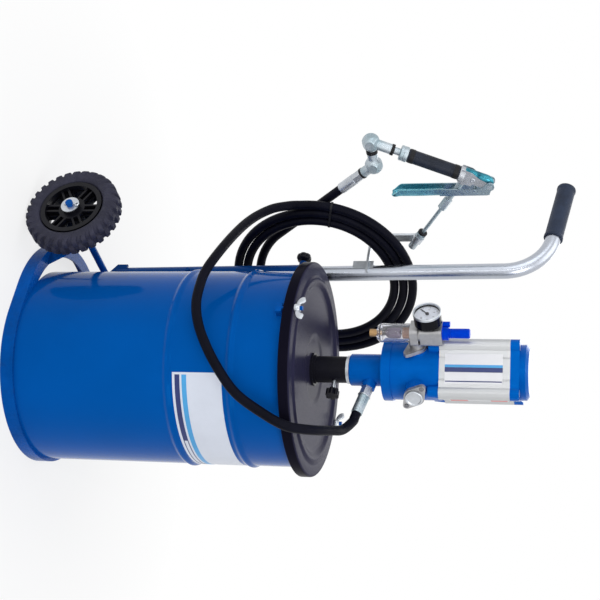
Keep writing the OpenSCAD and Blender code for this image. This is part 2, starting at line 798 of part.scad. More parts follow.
// Points of a smooth curve through the route
function spline(p, i, t) = let (a = p[max(i - 1, 0)], b = p[i], c = p[i + 1], d = p[min(i + 2, len(p) - 1)])
    (2 * b + (c - a) * t + (2 * a - 5 * b + 4 * c - d) * t * t + (3 * b - a - 3 * c + d) * t * t * t) / 2;
outlet_dir = [0, -cos(outlet_drop), -sin(outlet_drop)];
lead_from = [0, 0, body_z + outlet_up] + (outlet_end + gap) * outlet_dir;
lead_to = store_xyz(coil_point(0)[0], 0, coil_point(0)[2] - 2 * hose_r - gap);
route_share = drum_r / route_r;
lead_points = concat([lead_from + hose_r * outlet_dir],
    [for (p = lead_route) [p[0] * route_share, p[1] * route_share, p[2]]], [lead_to - [0, 0, hose_r]]);
lead_path = concat([lead_from],
    [for (i = [0 : len(lead_points) - 2]) for (k = [0 : lead_steps - 1]) spline(lead_points, i, k / lead_steps)],
    [lead_points[len(lead_points) - 1], lead_to]);
module hose_lead() color(black) sweep(lead_path, hose_r, lead_sides, [1, 0, 0]);

// Swivel between hose and gun
module elbow_block() intersection() {
    translate([0, 0, -elbow_len]) hex(elbow_af, 2 * elbow_len);
    sphere(elbow_ball);
}
seal_from = elbow_low[0] - elbow_high[0] - elbow_len - elbow_seal_w - 3 * gap;
module tail_ferrule() color(zinc) at_gun(elbow_low, tail_a) {
    translate([0, 0, tail_nut_near]) hex(outlet_nut_af, ferrule_near - tail_nut_near);
    translate([0, 0, ferrule_near]) cylinder(r = ferrule_r, h = ferrule_far - ferrule_near);
}
module swivel_hose_elbow() color(zinc) {
    at_gun(elbow_low, 90) elbow_block();
    at_gun(elbow_low, -90) {
        cylinder(r = neck_r, h = seal_from);
        cylinder(r = seal_core, h = seal_from + elbow_seal_w);
    }
    at_gun(elbow_low, tail_a) {
        cylinder(r = neck_r, h = neck_end);
        cylinder(r = seal_core, h = tail_nut_near);
    }
}
module swivel_seals() color(black) {
    at_gun(elbow_low, -90) translate([0, 0, seal_from]) ring(seal_r, seal_core + fit, elbow_seal_w);
    at_gun(elbow_low, tail_a) translate([0, 0, neck_end]) ring(seal_r - fit, seal_core + fit, tail_nut_near - neck_end);
    on_gun() translate([0, 0, gun_neck_end]) ring(seal_r, seal_core + fit, gun_seal_end - gun_neck_end);
}
module swivel_gun_elbow() color(zinc) {
    at_gun(elbow_high, 90) elbow_block();
    at_gun(elbow_high, 90) cylinder(r = neck_r, h = elbow_low[0] - elbow_high[0] - seal_from - elbow_seal_w);
    on_gun() {
        cylinder(r = neck_r, h = gun_neck_end);
        cylinder(r = seal_core, h = gun_seal_end);
    }
}

// Grease gun
module gun_inlet() color(zinc) on_gun() {
    translate([0, 0, gun_seal_end]) cylinder(r = thread_r, h = ring_nut_near - gun_seal_end);
    translate([0, 0, ring_nut_near]) cylinder(r = ring_nut_r, h = ring_nut_far - ring_nut_near);
    translate([0, 0, ring_nut_far]) cylinder(r = inlet_tube_r, h = collar_near - ring_nut_far);
}
module gun_grip() color(black) on_gun() translate([0, 0, grip_near])
    ring(gun_grip_r, inlet_tube_r + fit, collar_near - grip_near);
module gun_body() color(zinc) difference() {
    union() {
        on_gun() {
            translate([0, 0, collar_near]) cylinder(r = gun_collar_r, h = gun_collar_h);
            translate([-block_half, -block_side, block_near])
                cube([2 * block_half, 2 * block_side, block_far - block_near]);
            translate([-ear_half, -block_side, block_near])
                cube([2 * ear_half, 2 * block_side, gun_len - block_near]);
            translate([0, 0, gun_len]) rotate([90, 0, 0]) translate([0, 0, -block_side])
                cylinder(r = ear_past, h = 2 * block_side);
            translate([0, 0, screw_s]) rotate([90, 0, 0])
                cylinder(r = screw_r, h = block_side + screw_h - lever_t / 2);
        }
        on_outlet() cylinder(r = outlet_boss, h = outlet_seat);
    }
    on_gun() translate([0, 2 * block_side, gun_len]) rotate([90, 0, 0])
        cylinder(r = gun_pin_r + fit, h = 4 * block_side);
    on_gun() translate([-stem_room, 0, stem_s]) rotate([0, 90, 0])
        cylinder(r = stem_r + fit, h = stem_room + 2 * block_half);
    on_gun() translate([block_half - bar_slot_d, -2 * block_side, bar_slot_near])
        cube([2 * bar_slot_d, 4 * block_side, bar_slot_far - bar_slot_near]);
}
module gun_outlet() color(zinc) on_outlet() {
    translate([0, 0, outlet_seat]) cylinder(r = outlet_tube_r, h = outlet_hex_near - outlet_seat);
    translate([0, 0, outlet_hex_near]) hex(outlet_hex_af, outlet_hex_far - outlet_hex_near);
    translate([0, 0, outlet_hex_far]) cylinder(r = pipe_r, h = coupler_near - outlet_hex_far);
}
module gun_coupler() color(zinc) on_outlet() difference() {
    union() {
        translate([0, 0, coupler_near]) cylinder(r = coupler_r, h = coupler_far - coupler_near);
        translate([0, 0, coupler_collar_near])
            cylinder(r = coupler_collar_r, h = coupler_collar_far - coupler_collar_near);
    }
    translate([0, 0, coupler_far - coupler_bore_d]) cylinder(r = coupler_bore, h = coupler_bore_d + cut);
}
// The lever is upright in the store frame and turns on its pin, from which its points are measured
module on_pin() store() translate([gun_pt(gun_len, 0)[0], gun_v, gun_pt(gun_len, 0)[1]]) children();
module across_lever(half) rotate([90, 0, 0]) translate([0, 0, -half]) linear_extrude(2 * half) children();
module lever_side() {
    circle(lever_head);
    polygon([[lever_front, -lever_len], [lever_back, -lever_len], [lever_back, 0], [0, lever_head],
        [-lever_head, 0], [lever_front, -2 * lever_head]]);
}
bar_uz = gun_pt(gun_len - bar_back, bar_p) - gun_pt(gun_len, 0);
module gun_lever() color(zinc) on_pin() {
    difference() {
        across_lever(lever_half) lever_side();
        across_lever(lever_half - lever_t) translate([-lever_back, -lever_len - cut])
            square([2 * lever_back - lever_t, lever_len + cut + 2 * lever_head]);
        across_lever(lever_half - lever_t) translate([lever_back - 2 * lever_t, -window_low])
            square([3 * lever_t, window_low - window_high]);
        across_lever(2 * lever_half) circle(gun_pin_r + fit);
    }
    across_lever(lever_half) translate([lever_back - lever_curl_r, -lever_len]) circle(lever_curl_r);
    across_lever(lever_half - lever_t / 2) translate(bar_uz) circle(bar_r);
}
module lever_pin() color(zinc) on_pin() {
    out = lever_half + gap;
    across_lever(out) circle(gun_pin_r);
    for (s = [-1, 1]) translate([0, s * (out + gun_pin_head_t / 2), 0])
        across_lever(gun_pin_head_t / 2) circle(gun_pin_head_r);
}
module valve_stem() color(zinc) on_gun() translate([-stem_in, 0, stem_s]) rotate([0, 90, 0])
    cylinder(r = stem_r, h = stem_in + stem_out);

// Lid and its clamps
module lid_profile(lift, edge) polygon([for (p = [[0, -lid_well_d], [lid_well_r, -lid_well_d],
    [lid_well_r + 2 * lid_well_d, -lid_dish], [lid_bead_r - 3 * lid_bead_w / 2, -lid_dish], [lid_bead_r - lid_bead_w / 2, 0],
    [lid_bead_r, lid_bead_h], [lid_bead_r + lid_bead_w / 2, lid_bead_h], [lid_bead_r + lid_bead_w, 0],
    [edge - lid_t, 0], [edge, -lid_t], [edge, -2 * skirt_h], [0, -2 * skirt_h]]) [p[0], p[1] + lift]]);
module lid() color(grey) difference() {
    translate([0, 0, lid_z]) rotate_extrude($fn = 128) lid_profile(0, lid_r);
    translate([0, 0, lid_z]) rotate_extrude($fn = 128) lid_profile(-lid_t, lid_r - lid_t);
    translate([0, 0, lid_z - 3 * skirt_h]) cylinder(r = 2 * lid_r, h = 2 * skirt_h);
    translate([0, 0, lid_z - skirt_h]) cylinder(r = lid_hole + fit, h = 2 * skirt_h);
    for (s = [-1, 1]) translate([s * stud_at, 0, lid_z - 3 * lid_t]) cylinder(r = stud_r + stud_room, h = 6 * lid_t);
}
module lid_gasket() color(black) translate([0, 0, rim_z])
    ring(drum_r + rim_roll - 3 * drum_wall, drum_r - drum_wall / 2, gasket_t);
module lid_studs() color(blue) for (s = [0, 180]) rotate([0, 0, s]) difference() {
    foot = lid_z - skirt_h - skirt_room;
    union() {
        translate([stud_at, 0, foot - stud_foot_h / 2])
            cylinder(r = stud_r, h = lid_z + stud_rise - foot + stud_foot_h / 2);
        translate([drum_r - drum_wall, -stud_foot_w / 2, foot - stud_foot_h])
            cube([stud_at - drum_r + drum_wall + stud_r, stud_foot_w, stud_foot_h]);
    }
    cylinder(r = drum_r + fit, h = lid_z, $fn = 128);
}
module wing_nut() difference() {
    union() {
        cylinder(r1 = nut_hub_r, r2 = nut_hub_r * 3 / 4, h = nut_hub_h);
        for (s = [0, 180]) rotate([0, 0, s]) translate([0, wing_t / 2, nut_hub_h / 3])
            rotate([90, 0, 0]) linear_extrude(wing_t) rotate(atan2(wing_rise - wing_r, wing_span))
                link(nut_hub_h / 3, wing_r, norm([wing_span, wing_rise - wing_r]));
    }
    translate([0, 0, -cut]) cylinder(r = stud_r + fit, h = nut_hub_h + wing_rise + cut);
}
module wing_nut_left() color(zinc) translate([-stud_at, 0, lid_z]) rotate([0, 0, 90]) wing_nut();
module wing_nut_right() color(zinc) translate([stud_at, 0, lid_z]) rotate([0, 0, 90]) wing_nut();
module lid_adapter() color(black) difference() {
    seat = lid_z - lid_well_d;
    union() {
        translate([0, 0, seat]) cylinder(r = flange_r, h = flange_t);
        translate([0, 0, seat - neck_h]) cylinder(r = lid_hole, h = 2 * neck_h);
        translate([0, 0, seat]) cylinder(r = sleeve_r, h = sleeve_z - seat);
    }
    translate([0, 0, seat - neck_h - cut]) cylinder(r = tube_r + fit, h = sleeve_z);
    translate([0, 0, lid_z + clamp_rise]) rotate([90, 0, 0]) cylinder(r = clamp_stud_r + fit, h = 2 * sleeve_r);
}
module pump_knob() color(black) translate([0, -tube_r - gap, lid_z + clamp_rise]) rotate([90, 0, 0])
    star_knob(small_knob_r, small_knob_t, clamp_stud_r, clamp_reach - tube_r);

// Pump
module pump_collar() color(zinc) translate([0, 0, sleeve_z]) ring(sleeve_r + collar_out, tube_r + fit, collar_h);
module suction_tube() color(zinc) translate([0, 0, inlet_z + valve_len])
    ring(tube_r, tube_r - tube_wall, body_z - inlet_z - valve_len);
module foot_valve() color(zinc) translate([0, 0, inlet_z]) {
    core = tube_r - tube_wall - fit;
    difference() {
        union() {
            cylinder(r = tube_r, h = valve_len);
            cylinder(r = core, h = valve_len + spigot_len);
        }
        translate([0, 0, -cut]) cylinder(r = valve_port, h = valve_len + cut);
        translate([0, 0, valve_len / 2]) cylinder(r1 = valve_port, r2 = core - tube_wall / 2, h = valve_len / 2 + fit);
        translate([0, 0, valve_len]) cylinder(r = core - tube_wall / 2, h = spigot_len + cut);
    }
    seat = [core - tube_wall / 2 - valve_port, valve_len / 2 + fit];
    translate([0, 0, valve_len / 2 + ((ball_r + fit) * norm(seat) - valve_port * seat[1]) / seat[0]]) sphere(ball_r);
}
module pump_body() color(blue) difference() {
    union() {
        translate([0, 0, body_z]) cylinder(r1 = body_r - bevel, r2 = body_r, h = bevel);
        translate([0, 0, body_z + bevel]) cylinder(r = body_r, h = body_h - bevel);
        translate([0, 0, housing_z - gland_h / 2]) cylinder(r = body_r + tube_wall, h = gland_h / 2);
        on_pump_outlet() cylinder(r = outlet_boss_r, h = outlet_boss_end);
    }
    translate([0, 0, body_z - cut]) cylinder(r = tube_r - tube_wall, h = body_h - gland_h + cut);
    translate([0, 0, body_z]) cylinder(r = rod_r + fit, h = body_h + cut);
    on_pump_outlet() cylinder(r = valve_port, h = outlet_boss_end + cut);
}
module outlet_fitting() color(zinc) on_pump_outlet() translate([0, 0, outlet_boss_end])
    difference() {
        hex(outlet_nut_af, outlet_nut_end - outlet_boss_end);
        translate([0, 0, -cut]) cylinder(r = valve_port * 2 / 3, h = outlet_nut_end);
    }
module lead_ferrule() color(zinc) on_pump_outlet() translate([0, 0, outlet_nut_end])
    ring(ferrule_r, valve_port * 2 / 3, outlet_end - outlet_nut_end);
module port_pad(az, z, r, face) on_port(az, z) cylinder(r = r, h = face);
module port_outline(r) rotate(90 - port_tilt) {
    lift = (r - port_ear_r) / port_ear_at;
    near = (r - fit) * [lift, sqrt(1 - lift * lift)];
    far = (port_ear_r - fit) * [lift, sqrt(1 - lift * lift)] + [port_ear_at, 0];
    circle(r);
    for (x = [-port_ear_at, port_ear_at]) translate([x, 0]) circle(port_ear_r);
    polygon([near, far, [far[0], -far[1]], [near[0], -near[1]], [-near[0], -near[1]], [-far[0], -far[1]],
        [-far[0], far[1]], [-near[0], near[1]]]);
}
module bolt_places() rotate([0, 0, motor_turn]) for (x = [-1, 1]) for (y = [-1, 1])
    translate([x * bolt_at, y * bolt_at, 0]) children();
module valve_housing() color(blue) difference() {
    union() {
        translate([0, 0, housing_z]) cylinder(r = base_flange_r, h = base_flange_h);
        translate([0, 0, housing_z]) cylinder(r = housing_r, h = housing_h);
        port_pad(inlet_az, port_z, port_r + pad_out, port_face);
        port_pad(exhaust_az, exhaust_z, exhaust_r + pad_out, exhaust_face);
        bolt_places() translate([0, 0, motor_z - lug_low]) cylinder(r1 = lug_foot_r, r2 = lug_head_r, h = lug_low);
    }
    translate([0, 0, housing_z - cut]) cylinder(r = rod_r + fit, h = housing_h + 2 * cut);
    bolt_places() translate([0, 0, motor_z - lug_low + bolt_r]) cylinder(r = bolt_r + fit, h = lug_low);
}
module inlet_flange() color(zinc) on_port(inlet_az, port_z) {
    translate([0, 0, port_face]) linear_extrude(port_t) port_outline(port_r);
    translate([0, 0, port_face]) cylinder(r = nipple_r, h = unit_at - unit_w / 2 - port_face);
}
module exhaust_muffler() color(zinc) on_port(exhaust_az, exhaust_z) {
    translate([0, 0, exhaust_face]) linear_extrude(port_t) port_outline(exhaust_r);
    translate([0, 0, exhaust_face]) cylinder(r = muffler_r, h = muffler_out - exhaust_face);
}
module motor_outline(w, flats) {
    lobe = w / 2 - lobe_r;
    for (x = [-lobe, lobe]) for (y = [-lobe, lobe]) translate([x, y]) circle(lobe_r);
    square([w - 2 * flats, w - 2 * lobe_r], center = true);
    square([w - 2 * lobe_r, w - 2 * flats], center = true);
}
module motor_cylinder() color(alloy) difference() {
    translate([0, 0, motor_z]) rotate([0, 0, motor_turn]) linear_extrude(motor_h) difference() {
        motor_outline(motor_w, face_sink);
        for (a = [0 : 90 : 270]) rotate(a) for (y = [-1, 1])
            translate([motor_w / 2 - face_sink - groove_d, y * groove_at - groove_w / 2])
                square([2 * groove_d, groove_w]);
    }
    translate([0, 0, motor_z - cut]) cylinder(r = motor_bore, h = motor_h + 2 * cut);
    bolt_places() translate([0, 0, motor_z - cut]) cylinder(r = bolt_r + fit, h = motor_h + 2 * cut);
}
module top_cap() color(blue) difference() {
    union() {
        translate([0, 0, cap_z]) rotate([0, 0, motor_turn]) linear_extrude(cap_h) motor_outline(motor_w, face_sink);
        translate([0, 0, cap_z + cap_h]) cylinder(r = dome_r, h = dome_h * 2 / 3);
        translate([0, 0, cap_z + cap_h + dome_h * 2 / 3])
            cylinder(r1 = dome_r, r2 = dome_r - dome_round, h = dome_h / 3);
    }
    bolt_places() translate([0, 0, cap_z - cut]) cylinder(r = bolt_r + fit, h = cap_h + 2 * cut);
    bolt_places() translate([0, 0, cap_z + cap_h - bolt_head_h]) cylinder(r = bolt_pocket_r, h = 2 * bolt_head_h);
}
module tie_bolts() color(zinc) bolt_places() {
    foot = motor_z - lug_low + bolt_r + gap;
    translate([0, 0, foot]) cylinder(r = bolt_r, h = cap_z + cap_h - bolt_head_h - foot);
    translate([0, 0, cap_z + cap_h - bolt_head_h]) hex(bolt_head_af, bolt_head_h);
}
module air_piston() color(alloy) translate([0, 0, motor_z + piston_lift]) {
    seal_at = [piston_h / 4, piston_h * 3 / 4];
    difference() {
        ring(motor_bore - 2 * gap, rod_r + fit, piston_h);
        for (z = seal_at) translate([0, 0, z - piston_seal_h / 2])
            ring(motor_bore, motor_bore - piston_seal_d - fit, piston_seal_h);
    }
    for (z = seal_at) translate([0, 0, z - piston_seal_h / 2 + fit])
        ring(motor_bore - fit, motor_bore - piston_seal_d, piston_seal_h - 2 * fit);
}
module piston_rod() color(zinc) {
    top = motor_z + piston_lift + piston_h;
    translate([0, 0, plunger_z]) cylinder(r = rod_r, h = top - plunger_z);
    translate([0, 0, top]) hex(rod_nut_af, rod_nut_h);
    translate([0, 0, plunger_z]) cylinder(r = plunger_r, h = plunger_h);
}
module follower_plate() color(black) translate([0, 0, floor_z + drum_wall + gap]) difference() {
    out = drum_r - drum_wall - wiper_gap;
    union() {
        cylinder(r = out - wiper_t / 2, h = follower_t, $fn = 128);
        ring(out, out - wiper_t, wiper_h, $fn = 128);
        cylinder(r1 = follower_hub_r, r2 = follower_hub_r - follower_t, h = follower_hub_h);
    }
    translate([0, 0, -cut]) cylinder(r = tube_r + fit, h = follower_hub_h + 2 * cut);
}

// Air unit: filter, regulator and gauge
module unit_outline() {
    half = unit_w / 2;
    for (x = [-1, 1]) for (y = [-1, 1])
        translate([x * (half - unit_round), y * (half - unit_round)]) circle(unit_round);
    square([unit_w, unit_w - 2 * unit_round], center = true);
    square([unit_w - 2 * unit_round, unit_w], center = true);
}
module regulator_body() color(zinc) on_unit() difference() {
    union() {
        linear_extrude(unit_h) unit_outline();
        translate([0, -unit_w / 2, air_hole_z]) rotate([90, 0, 0]) translate([0, 0, -cut])
            cylinder(r = 2 * air_hole_r, h = boss_out + cut);
    }
    translate([0, 0, unit_h / 4]) difference() {
        translate([0, 0, slot_h / 2]) cube([2 * unit_w, 2 * unit_w, slot_h], center = true);
        cylinder(r = unit_w / 2 - slot_d, h = 3 * slot_h, center = true);
    }
    translate([0, -unit_w / 2 - boss_out, air_hole_z]) rotate([-90, 0, 0]) translate([0, 0, -cut])
        cylinder(r = air_hole_r, h = air_hole_d + cut);
}
module regulator_bonnet() color(blue) on_unit() translate([0, 0, unit_h]) {
    cylinder(r = bonnet_r, h = bonnet_h);
    translate([side_cap_x, side_cap_y, 0]) cylinder(r = side_cap_r, h = side_cap_h);
    translate([0, 0, bonnet_h]) cylinder(r = reg_knob_r, h = bonnet_ring_h);
    cylinder(r = spindle_r, h = bonnet_h + bonnet_ring_h + spindle_h);
}
module regulator_knob() color(blue) on_unit() translate([0, 0, unit_h + bonnet_h + bonnet_ring_h + gap]) difference() {
    union() {
        cylinder(r = reg_knob_r, h = reg_knob_h - bevel);
        translate([0, 0, reg_knob_h - bevel]) cylinder(r1 = reg_knob_r, r2 = reg_knob_r - bevel, h = bevel);
    }
    translate([0, 0, -cut]) cylinder(r = spindle_r + fit, h = spindle_h + 2 * cut);
    for (i = [0 : flute_count - 1]) rotate([0, 0, 360 / flute_count * i])
        translate([reg_knob_r + flute_r / 4, 0, reg_knob_h / 4]) cylinder(r = flute_r, h = reg_knob_h);
}
module filter_bowl() color([0.85, 0.87, 0.84, 0.5]) on_unit() translate([0, 0, -bowl_h]) difference() {
    rotate_extrude() polygon([[0, 0], [bowl_r - 2 * bowl_wall, 0], [bowl_r, 2 * bowl_wall], [bowl_r, bowl_h],
        [0, bowl_h]]);
    rotate_extrude() polygon([[0, bowl_wall], [bowl_r - 3 * bowl_wall, bowl_wall], [bowl_r - bowl_wall, 3 * bowl_wall],
        [bowl_r - bowl_wall, bowl_h + cut], [0, bowl_h + cut]]);
    translate([0, 0, -cut]) cylinder(r = drain_stem_r + fit, h = bowl_h);
}
module filter_element() color(brass) on_unit() translate([0, 0, -element_h]) ring(element_r, element_r / 2, element_h);
module bowl_drain() color(brass) on_unit() translate([0, 0, -bowl_h - gap]) {
    translate([0, 0, -drain_h]) cylinder(r = drain_r, h = drain_h);
    cylinder(r = drain_stem_r, h = 3 * bowl_wall);
}
module gauge_case() color(black) on_gauge() difference() {
    union() {
        cylinder(r = gauge_stem_r, h = gauge_stem);
        translate([0, 0, gauge_stem]) cylinder(r1 = gauge_r * 4 / 5, r2 = gauge_r, h = gauge_stem);
        translate([0, 0, 2 * gauge_stem]) cylinder(r = gauge_r, h = gauge_d - gauge_stem);
    }
    translate([0, 0, gauge_stem + gauge_d - gauge_well]) cylinder(r = gauge_r - gauge_rim, h = gauge_well + cut);
    translate([0, 0, gauge_stem + gauge_d - 2 * gauge_well]) cylinder(r = needle_pin_r + fit, h = gauge_well + cut);
}
module gauge_lens() color([0.9, 0.93, 0.95, 0.4]) on_gauge() translate([0, 0, gauge_stem + gauge_d - cut - lens_t])
    cylinder(r = gauge_r - gauge_rim - fit, h = lens_t);
module gauge_needle() color(black) on_gauge() translate([0, 0, gauge_stem + gauge_d - gauge_well]) rotate([0, 0, -45]) {
    translate([0, 0, -gauge_well / 2]) cylinder(r = needle_pin_r, h = gauge_well);
    translate([-needle_len / 4, -needle_w / 2, gauge_well / 4]) cube([needle_len * 5 / 4, needle_w, needle_t]);
    translate([0, 0, gauge_well / 4]) cylinder(r = 2 * needle_w, h = 2 * needle_t);
}

drum_shell();
base_frame();
axle_rod();
column_tube();
lid_studs();
lid();
lid_gasket();
lid_adapter();
wheel_washers();
cotter_pins();
hose_lead();
tyre_left();
hub_left();
tyre_right();
hub_right();
wing_nut_left();
wing_nut_right();
handle_tube();
handle_grip();
hose_hanger();
hose_coil();
hose_tail();
tail_ferrule();
swivel_hose_elbow();
swivel_seals();
swivel_gun_elbow();
gun_inlet();
gun_grip();
gun_body();
gun_outlet();
gun_coupler();
handle_knob();
pump_knob();
gun_lever();
lever_pin();
valve_stem();
pump_collar();
pump_body();
suction_tube();
foot_valve();
outlet_fitting();
lead_ferrule();
valve_housing();
inlet_flange();
regulator_body();
regulator_bonnet();
filter_bowl();
filter_element();
gauge_case();
gauge_lens();
exhaust_muffler();
motor_cylinder();
top_cap();
tie_bolts();
air_piston();
piston_rod();
regulator_knob();
gauge_needle();
bowl_drain();
follower_plate();
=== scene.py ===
"""Looks of an air driven grease pump on a wheeled drum, in metres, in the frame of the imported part."""

import math

import bpy
import numpy as np
from mathutils import Matrix, Vector


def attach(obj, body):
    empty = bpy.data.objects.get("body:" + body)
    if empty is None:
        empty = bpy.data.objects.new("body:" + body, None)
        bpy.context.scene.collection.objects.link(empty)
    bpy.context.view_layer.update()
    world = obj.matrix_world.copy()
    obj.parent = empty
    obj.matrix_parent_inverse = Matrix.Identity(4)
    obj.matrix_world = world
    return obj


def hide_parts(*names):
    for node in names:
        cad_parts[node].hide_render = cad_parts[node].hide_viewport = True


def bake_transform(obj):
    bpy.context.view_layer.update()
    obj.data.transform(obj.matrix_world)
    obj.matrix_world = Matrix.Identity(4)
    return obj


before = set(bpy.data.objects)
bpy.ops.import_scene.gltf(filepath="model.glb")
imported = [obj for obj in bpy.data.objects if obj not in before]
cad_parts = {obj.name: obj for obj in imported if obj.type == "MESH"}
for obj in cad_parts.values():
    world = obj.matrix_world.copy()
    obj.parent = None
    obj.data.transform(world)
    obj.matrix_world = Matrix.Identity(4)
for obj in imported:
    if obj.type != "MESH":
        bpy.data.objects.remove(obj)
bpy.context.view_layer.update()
TAU = 2 * math.pi


# Shapes
def unit(a):
    """Each row divided by its length."""
    a = np.asarray(a, float)
    return a / np.linalg.norm(a, axis=-1, keepdims=True)


def smooth(t):
    """Eased step: 3t^2 - 2t^3 between 0 and 1."""
    t = np.clip(t, 0, 1)
    return t * t * (3 - 2 * t)


def boxy(c, power):
    """A cosine or sine drawn out towards a square: its sign times its size to the given power."""
    return np.sign(c) * np.abs(c) ** power


def around(count):
    """Angles in radians that part one full turn into count equal shares."""
    return np.arange(count) * TAU / count


def turned(x=0.0, y=0.0, z=0.0):
    """Rows are the local axes after turns in degrees about X, then Y, then Z."""
    a, b, c = (math.radians(v) for v in (x, y, z))
    m = Matrix.Rotation(c, 3, "Z") @ Matrix.Rotation(b, 3, "Y") @ Matrix.Rotation(a, 3, "X")
    return np.array(m.transposed())


class Place:
    """A local frame: an origin and three axes, given as rows."""

    def __init__(self, origin=(0, 0, 0), axes=None):
        """Without axes the frame isn't turned."""
        self.origin = np.asarray(origin, float)
        self.axes = np.eye(3) if axes is None else np.asarray(axes, float)

    def at(self, origin=(0, 0, 0), axes=None):
        """The frame that sits in this one at origin, with its own turn."""
        turn = np.eye(3) if axes is None else np.asarray(axes, float)
        return Place(self.put(origin), turn @ self.axes)

    def put(self, points):
        """Local points in the row frame: origin plus the points times the axes."""
        return self.origin + np.asarray(points, float) @ self.axes


def shell(points, wrap_u=False):
    """A grid of points (n, m, 3) as a skin of quads. Each row is closed on itself. The rows close on each
    other with wrap_u, and otherwise the first and the last row get a flat cap."""
    n, m = points.shape[:2]
    i, j = np.meshgrid(np.arange(n if wrap_u else n - 1), np.arange(m), indexing="ij")
    corners = [(i, j), (i + 1, j), (i + 1, j + 1), (i, j + 1)]
    quads = np.stack([(a % n) * m + b % m for a, b in corners], -1).reshape(-1, 4)
    uv = np.stack([np.stack([b / m, a / n], -1) for a, b in corners], 2).reshape(-1, 2)
    faces = quads.tolist()
    if not wrap_u:
        faces += [list(range(m))[::-1], list(range((n - 1) * m, n * m))]
        uv = np.vstack([uv, np.zeros((2 * m, 2))])
    return points.reshape(-1, 3), faces, uv


def volume(co, faces):
    """Signed volume of the fans of all faces: positive when they point outwards."""
    total = 0.0
    for size in {len(f) for f in faces}:
        f = np.array([g for g in faces if len(g) == size])
        for k in range(1, size - 1):
            total += np.einsum("ij,ij->", co[f[:, 0]], np.cross(co[f[:, k]], co[f[:, k + 1]]))
    return total / 6


def outward(part):
    """The same skin with its faces turned outwards."""
    co, faces, uv = part
    if volume(co - co.mean(0), faces) >= 0:
        return part
    sizes = np.array([len(f) for f in faces])
    starts = np.concatenate([[0], np.cumsum(sizes)[:-1]])
    order = np.concatenate([np.arange(s + n - 1, s - 1, -1) for s, n in zip(starts, sizes)])
    return co, [f[::-1] for f in faces], uv[order]


def piece(name, parts, finish, body, replaces=(), closed=True, crease=40):
    """One object from one or more skins, shaded smooth up to the crease angle, riding on its body."""
    parts = [outward(p) for p in parts] if closed else parts
    start, cos, faces, uvs = 0, [], [], []
    for co, quads, uv in parts:
        cos.append(co)
        faces += [[v + start for v in f] for f in quads]
        uvs.append(uv)
        start += len(co)
    mesh = bpy.data.meshes.new(name)
    mesh.from_pydata(np.vstack(cos).tolist(), [], faces)
    layer = mesh.uv_layers.new(name="UVMap")
    layer.data.foreach_set("uv", np.vstack(uvs).astype(np.float32).ravel())
    mesh.shade_smooth()
    mesh.set_sharp_from_angle(angle=math.radians(crease))
    mesh.materials.append(finish)
    ob = bpy.data.objects.new(name, mesh)
    bpy.context.collection.objects.link(ob)
    if body:
        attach(ob, body)
    if replaces:
        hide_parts(*replaces)
    return ob


def rings(r, a, h):
    """A ring of points at each height: x = r cos a, y = r sin a, z = h. Each height has its row of radii."""
    return np.stack([r * np.cos(a), r * np.sin(a), np.repeat(h[:, None], len(a), 1)], -1)


def revolve(profile, place=Place(), count=96, wrap=False):
    """A profile of (radius, height) turned about the local Z axis."""
    r, h = np.asarray(profile, float).T
    return shell(place.put(rings(r[:, None], around(count), h)), wrap_u=wrap)


def rounded(profile, radius=0.0006, steps=3):
    """The profile with each corner cut by a quadratic curve that starts at most radius away from it."""
    p = np.asarray(profile, float)
    out = [p[0]]
    for a, b, c in zip(p[:-2], p[1:-1], p[2:]):
        ra = min(radius, np.linalg.norm(a - b) / 2.2)
        rc = min(radius, np.linalg.norm(c - b) / 2.2)
        s, e = b + unit(a - b) * ra, b + unit(c - b) * rc
        for t in np.linspace(0, 1, steps + 1):
            out.append((1 - t) ** 2 * s + 2 * t * (1 - t) * b + t * t * e)
    return np.array(out + [p[-1]])


def carried(path, across):
    """Two cross axes along a path: the first is carried on from across without twist, by taking away at each
    step what points along the path, and the second is the tangent times the first."""
    t = unit(np.gradient(path, axis=0))
    side = [unit(across - t[0] * (t[0] @ across))]
    for step in t[1:]:
        side.append(unit(side[-1] - step * (step @ side[-1])))
    side = np.array(side)
    return side, np.cross(t, side)


def tube(path, radius, sides, across):
    """A circle of the given radius carried along the path: p + r (cos a * side + sin a * up)."""
    path = np.asarray(path, float)
    side, up = carried(path, np.asarray(across, float))
    a = around(sides)
    ring = np.cos(a)[None, :, None] * side[:, None] + np.sin(a)[None, :, None] * up[:, None]
    return shell(path[:, None] + radius * ring)


def spline(route, steps):
    """Points of a smooth curve through the route, steps to each stretch. Each stretch is a cubic, whose slope
    at a point of the route is half the way between that point's two neighbours."""
    p = np.asarray(route, float)
    q = np.vstack([p[:1], p, p[-1:]])
    a, b, c, d = q[:-3, None], q[1:-2, None], q[2:-1, None], q[3:, None]
    t = (np.arange(steps) / steps)[None, :, None]
    s = (2 * b + (c - a) * t + (2 * a - 5 * b + 4 * c - d) * t**2 + (3 * b - a - 3 * c + d) * t**3) / 2
    return np.vstack([s.reshape(-1, 3), p[-1:]])


def slab(outline, low, high, place=Place(), edge=0.0004):
    """A flat outline (closed) raised from low to high, its rims drawn in by edge."""
    p = np.asarray(outline, float)
    mid = p.mean(0)
    inner = mid + (p - mid) * (1 - edge / np.abs(p - mid).max())
    rows = [(inner, low), (p, low + edge), (p, high - edge), (inner, high)]
    points = np.array([np.column_stack([q, np.full(len(q), h)]) for q, h in rows])
    return shell(place.put(points))


def rounded_box(w, h, r, steps=6):
    """Outline of a w by h rectangle with round corners of radius r, centred."""
    out = []
    for k, (x, y) in enumerate([(1, 1), (-1, 1), (-1, -1), (1, -1)]):
        a = np.linspace(k * 90, k * 90 + 90, steps) * math.pi / 180
        out.append(np.column_stack([x * (w / 2 - r) + r * np.cos(a), y * (h / 2 - r) + r * np.sin(a)]))
    return np.vstack(out)


